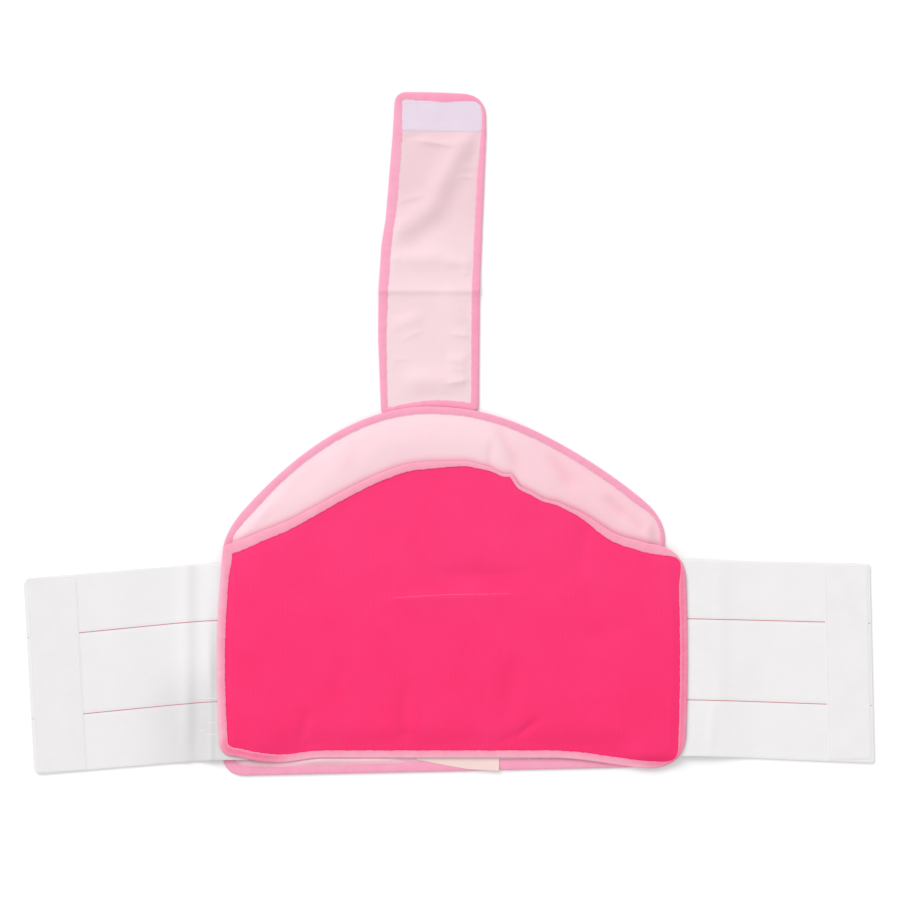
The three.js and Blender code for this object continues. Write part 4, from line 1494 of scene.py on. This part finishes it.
# %% [markdown]
# The front panel faces outwards. The bell is its top, its lower edge dips where the cloth hangs down,
# and its sides bulge a little. They are worked out like the sides of the strap, from the corners up.

# %% Outline of the front panel
FRONT_RADII = [14, 36, 34, 6]


def front_outline():
    """Sides that bulge by a half wave, the bell on top and the dipping edge below."""
    low = lambda t: blend(FRONT["left"], FRONT["right"], t)
    high = lambda t: blend(FRONT["left_top"], FRONT["right"], t)

    def side(end, bulge, t):
        y = blend(front_low(low(end)), bell_y(high(end)), t)
        return rows_of(blend(low(end), high(end), t) + bulge * np.sin(np.pi * t), y)

    bottom = lambda t: rows_of(low(t), front_low(low(t)))
    right = lambda t: side(1.0, FRONT["bulge_right"], t)
    top = lambda t: rows_of(high(1 - t), bell_y(high(1 - t)))
    left = lambda t: side(0.0, -FRONT["bulge_left"], 1 - t)
    return Outline([bottom, right, top, left], FRONT_RADII)


print("the front panel's right side is", chord(front_outline().sides[1]).round(1), "mm long")

# %% [markdown]
# It is brushed loop cloth, so that the hooks of the wings hold anywhere on it, and it is the stoutest
# cloth of the band: its folds are few and soft. It hangs a little between the wings, which hold it up
# at both sides.

# %% Lie of the front panel
FRONT_LIE = {"mid": 7.1, "half": 1.5, "lowest": 3.6, "sag": 1.3, "sag_span": (120, 195), "bend": 0.3}
FRONT_DROOP = {"between_wings": 3.1, "past_wing": 3.4}
DROOP_SPANS = {"low": (290, 320), "wing_roots": (165, 200), "lowest": (319, 331), "right": (150, 205)}
FRONT_FOLDS = [
    Fold(27, -141, 0, 48, 9, -1.8, 16),
    Fold(134, -114, 88, 26, 9, -1.1),
    Fold(62, -251, 85, 32, 10, -1.1),
    Fold(-82, -268, -45, 24, 8, -1.1),
    Fold(-144, -290, 75, 16, 6, -1.0),
    Fold(-45, -282, 88, 30, 7, -1.2),
    Fold(-110, -246, 80, 20, 9, -0.8),
    Fold(-165, -156, -40, 24, 9, -0.7),
    Fold(150, -200, 20, 34, 12, -0.7),
]
FRONT_CREASES = [
    Fold(3, -160.5, 2.3, 66, 2.0, 1.6, 12),
    Fold(56, -308, 55, 9, 2.4, -1.7),
    Fold(78, -293, 35, 14, 3.2, -2.0),
    Fold(-44, -307, 82, 11, 2.6, -1.7),
]


def front_rim(x, y):
    """Height of the bound edge: level on the wings, lower between them, and lowest past the right one."""
    between = soft_step(-y, *DROOP_SPANS["low"]) * (1 - soft_step(np.abs(x), *DROOP_SPANS["wing_roots"]))
    past = soft_step(-y, *DROOP_SPANS["lowest"]) * soft_step(x, *DROOP_SPANS["right"])
    droop = FRONT_DROOP["between_wings"] * between + FRONT_DROOP["past_wing"] * past
    return FRONT_LIE["mid"] - droop


def front_height(x, y):
    """Middle of the front panel: its rim, less a sag between the wings, with its folds, on the back."""
    sag = FRONT_LIE["sag"] * (1 - soft_step(np.abs(x), *FRONT_LIE["sag_span"]))
    folds = fold_height(FRONT_FOLDS, x, y) + fold_height(FRONT_CREASES, x, y, sharp=True)
    bend = FRONT_LIE["bend"] * slow_bend(x, y)
    return np.maximum(front_rim(x, y) - sag + folds + bend, FRONT_LIE["lowest"])


print("the middle of the front panel lies", front_height(0.0, -250.0).round(1), "mm above the table")

# %% [markdown]
# The front tape has a table of widths along the bell, because it is drawn in narrow at the step on the
# right. Down the sides and below it is nearly even, and two of its corners are pulled tight.

# %% Widths of the front tape
BELL_TAPE = {
    "x": [-218, -173, -140, -97, -50, -30, 0, 25, 46, 65, 105, 125, 151, 183, 206],
    "width": [10.6, 9.4, 8.2, 7.8, 7.8, 7.8, 6, 5, 3.2, 3.6, 3.2, 4.2, 7.4, 9.3, 10],
}
Corner = namedtuple("Corner", "x y cut")
NARROW_CORNERS = [Corner(230.5, -124, 8.3), Corner(224.5, -324, 6.0)]
CORNER_REACH = 12
SIDE_TAPE = {"left": 8.8, "rest": 7.6, "span": (-210, -150)}
BELL_SPAN = (-26, -8)


def on_bell(x, y):
    """1 along the bell, and 0 down the sides and below."""
    return soft_step(y - bell_y(x), *BELL_SPAN)


def front_tape_width(x, y):
    """Width along the bell from a table, even below and at the sides, and narrow in two corners."""
    bell = np.interp(x, BELL_TAPE["x"], BELL_TAPE["width"])
    side = blend(SIDE_TAPE["left"], SIDE_TAPE["rest"], soft_step(x, *SIDE_TAPE["span"]))
    width = blend(side, bell, on_bell(x, y))
    for corner in NARROW_CORNERS:
        width -= corner.cut * soft_peak(np.hypot(x - corner.x, y - corner.y), 0, CORNER_REACH)
    return width


print("along the bell the front tape is", min(BELL_TAPE["width"]), "mm wide or more")

# %% [markdown]
# Down the sides and below, the tape is rolled over. Painted light makes it paler towards its edge, its
# middle has a deeper tone, and painted shade darkens the whole right side. The loop cloth is painted a
# little paler towards the top, as painted light. Both are tints of the points, so that each cloth keeps one
# finish.

# %% Front panel
# Painted light: the loop cloth is paler towards the top.
LOOP_TOP_LIGHT = {"paler": 0.2, "span": (-260, -70)}
TAPE_SPANS = {
    "outer": (0.2, 0.6), "inner": (0.65, 0.95),
    "far_left": (150, 190), "low": (300, 320), "right": (180, 225),
}
# On each side, outer is painted light at the tape's edge; the right side's level is painted shade.
SideTone = namedtuple("SideTone", "outer inner level corner")
LEFT_TONE = SideTone(outer=0.16, inner=-0.08, level=-0.05, corner=-0.3)
RIGHT_TONE = SideTone(outer=0.14, inner=0.2, level=-0.33, corner=0)


def front_top_light(x, y):
    """Painted light: the loop cloth is a little paler towards the top."""
    return LOOP_TOP_LIGHT["paler"] * soft_step(y, *LOOP_TOP_LIGHT["span"])


def front_tape_light_and_shade(x, y, share):
    """Along the bell the tone is even. On the left and below, painted light pales the tape towards its edge,
    and its middle is deeper in the low left corner; down the right side painted shade makes it all deeper."""
    outer = 1 - soft_step(share, *TAPE_SPANS["outer"])
    inner = soft_step(share, *TAPE_SPANS["inner"])
    corner = soft_step(-x, *TAPE_SPANS["far_left"]) * soft_step(-y, *TAPE_SPANS["low"]) * (1 - inner)
    left, right = (
        tone.outer * outer + tone.inner * inner + tone.level + tone.corner * corner
        for tone in (LEFT_TONE, RIGHT_TONE)
    )
    return (1 - on_bell(x, y)) * blend(left, right, soft_step(x, *TAPE_SPANS["right"]))


front = add_bound_cloth("front", Plan(
    outline=front_outline(), step=2.0, height=front_height, half=FRONT_LIE["half"], rim=front_rim,
    width=front_tape_width, finish=Finish(LOOP, FRONT_TAPE, ROSE_THREAD), gathers=0.8,
    tint=front_top_light, tape_tint=front_tape_light_and_shade,
))
dress(front.cloth, "front_panel")
dress(front.tape, "front_binding")

# %% [markdown]
# The band was packed with a fold straight across the front panel. Opened out, the pile of the loop cloth
# stays pressed along the top of that fold and catches the light as a fine line, which is painted as a
# highlight in a paler loop cloth. It is narrower than the squares of the cloth's grid, so it is laid on as a
# thin ridge, like the lines on the wings.

# %% Pressed line
PRESS = {"x": [-62, -20, 0, 66], "y": [-163.4, -160.8, -159.8, -159.0], "sink": 0.2, "step": 1.5}
press_x = np.arange(PRESS["x"][0], PRESS["x"][-1], PRESS["step"])
press_y = np.interp(press_x, PRESS["x"], PRESS["y"])
press_z = front_height(press_x, press_y) + FRONT_LIE["half"] - PRESS["sink"]
pressed = add_threads("front_pressed_highlight_line", [rows_of(press_x, press_y, press_z)], PRESSED_HIGHLIGHT)

# %% [markdown]
# One more seam lies in the ditch beside the front tape. Its thread is crimson, a little darker than the
# loop cloth, so that the single stitches hardly show and the row is a painted shade: a thin dark line
# along the inner edge of the tape.

# %% Seam in the ditch
DITCH = {"share": 1.04, "rise": 0.56}
ditch_line = tape_lines(front.path, np.array([DITCH["share"]]), np.array([DITCH["rise"]]))[:, 0]
ditch_shade_seam = add_seam("front_ditch_shade_stitches", [closed_line(ditch_line)], CRIMSON_SHADE_THREAD)

# %% [markdown]
# The size that each cloth was cut to is printed, so that the flat pattern is known. An arch or a bell is
# cut from a box of cloth, and its own area is printed with it.

# %% Flat sizes of the cloths
FLAT_SHARES = even_shares(400, 1)


def flat_size(outline):
    """Width and length of the box round an outline, in metres, and the area inside it, in square metres:
    half the sum of x dy minus y dx round the outline."""
    loop = outline_loop(outline, FLAT_SHARES, FLAT_SHARES)
    x, y = loop.T
    area = abs((x * np.roll(y, -1) - y * np.roll(x, -1)).sum() / 2) * MM**2
    return tuple((np.ptp(loop, axis=0) * MM).round(4)), round(area, 5)


def declare(piece, outline):
    """Prints the flat size and the area of the cloth that the piece is cut from."""
    flat, area = flat_size(outline)
    print(piece.name, "is cut from", flat, "m, area", area)


declare(strap.cloth, strap_outline())
declare(back.cloth, back_outline())
wing_extras = {"left": [bare_cords], "right": []}
for wing in WINGS:
    extras = [red_lines[wing.name], hook_tapes[wing.name], hook_seams[wing.name]]
    extras += wing_extras[wing.name]
    declare(elastics[wing.name], wing_outline(wing))
declare(label, label_outline())
declare(front.cloth, front_outline())

# %% [markdown]
# The band lies on a plain white table top. One square, much larger than the picture, is enough, and its
# dull white throws the light back up as paper does.

# %% Table top
FLOOR = {"half": 9.0, "white": 0.96, "roughness": 0.9, "specular": 0.1}
floor_mesh = bpy.data.meshes.new("floor")
floor_corners = FLOOR["half"] * np.array([[-1, -1, 0], [1, -1, 0], [1, 1, 0], [-1, 1, 0]])
floor_mesh.from_pydata(floor_corners, [], [(0, 1, 2, 3)])
floor_finish = bpy.data.materials.new("white table top")
floor_finish.use_nodes = True
floor_shader = floor_finish.node_tree.nodes["Principled BSDF"].inputs
floor_shader["Base Color"].default_value = (FLOOR["white"], FLOOR["white"], FLOOR["white"], 1)
floor_shader["Roughness"].default_value = FLOOR["roughness"]
floor_shader["Specular IOR Level"].default_value = FLOOR["specular"]
floor_mesh.materials.append(floor_finish)
floor = new_object("floor", floor_mesh)
print("the table top is", 2 * FLOOR["half"], "m wide")

# %% [markdown]
# A large soft lamp stands at the upper left, so that each fold has a lit side, and even light from all
# round opens the shadows. A small hard lamp would draw every stitch, but it would not look like daylight.

# %% Light
KEY = {"place": (-5.2, 7.0, 5.6), "size": 6.0, "power": 680.0}
FILL_STRENGTH = 0.8

world = bpy.data.worlds.new("even light")
world.use_nodes = True
background = world.node_tree.nodes["Background"].inputs
background["Color"].default_value = (1, 1, 1, 1)
background["Strength"].default_value = FILL_STRENGTH
bpy.context.scene.world = world

lamp = bpy.data.lights.new("soft lamp", "AREA")
lamp.shape = "DISK"
lamp.size = KEY["size"]
lamp.energy = KEY["power"]
key = new_object("soft lamp", lamp)
key.location = KEY["place"]
key.rotation_euler = (-key.location).to_track_quat("-Z", "Y").to_euler()
print("the lamp is", round(key.location.length, 1), "m away")

# %% [markdown]
# The camera looks straight down through a long lens, so that the band is seen without slant. Colours are
# shown as they are, with no film curve.

# %% Camera
VIEW = {"x": 0.0005, "y": -0.0155, "width": 0.9, "lens": 150.0, "sensor": 36.0}
lens = bpy.data.cameras.new("camera")
lens.sensor_width = VIEW["sensor"]
lens.lens = VIEW["lens"]
camera = new_object("camera", lens)
camera.location = (VIEW["x"], VIEW["y"], VIEW["width"] * VIEW["lens"] / VIEW["sensor"])
bpy.context.scene.camera = camera
bpy.context.scene.view_settings.view_transform = "Standard"
print("the camera is", round(camera.location.z, 2), "m above the table")
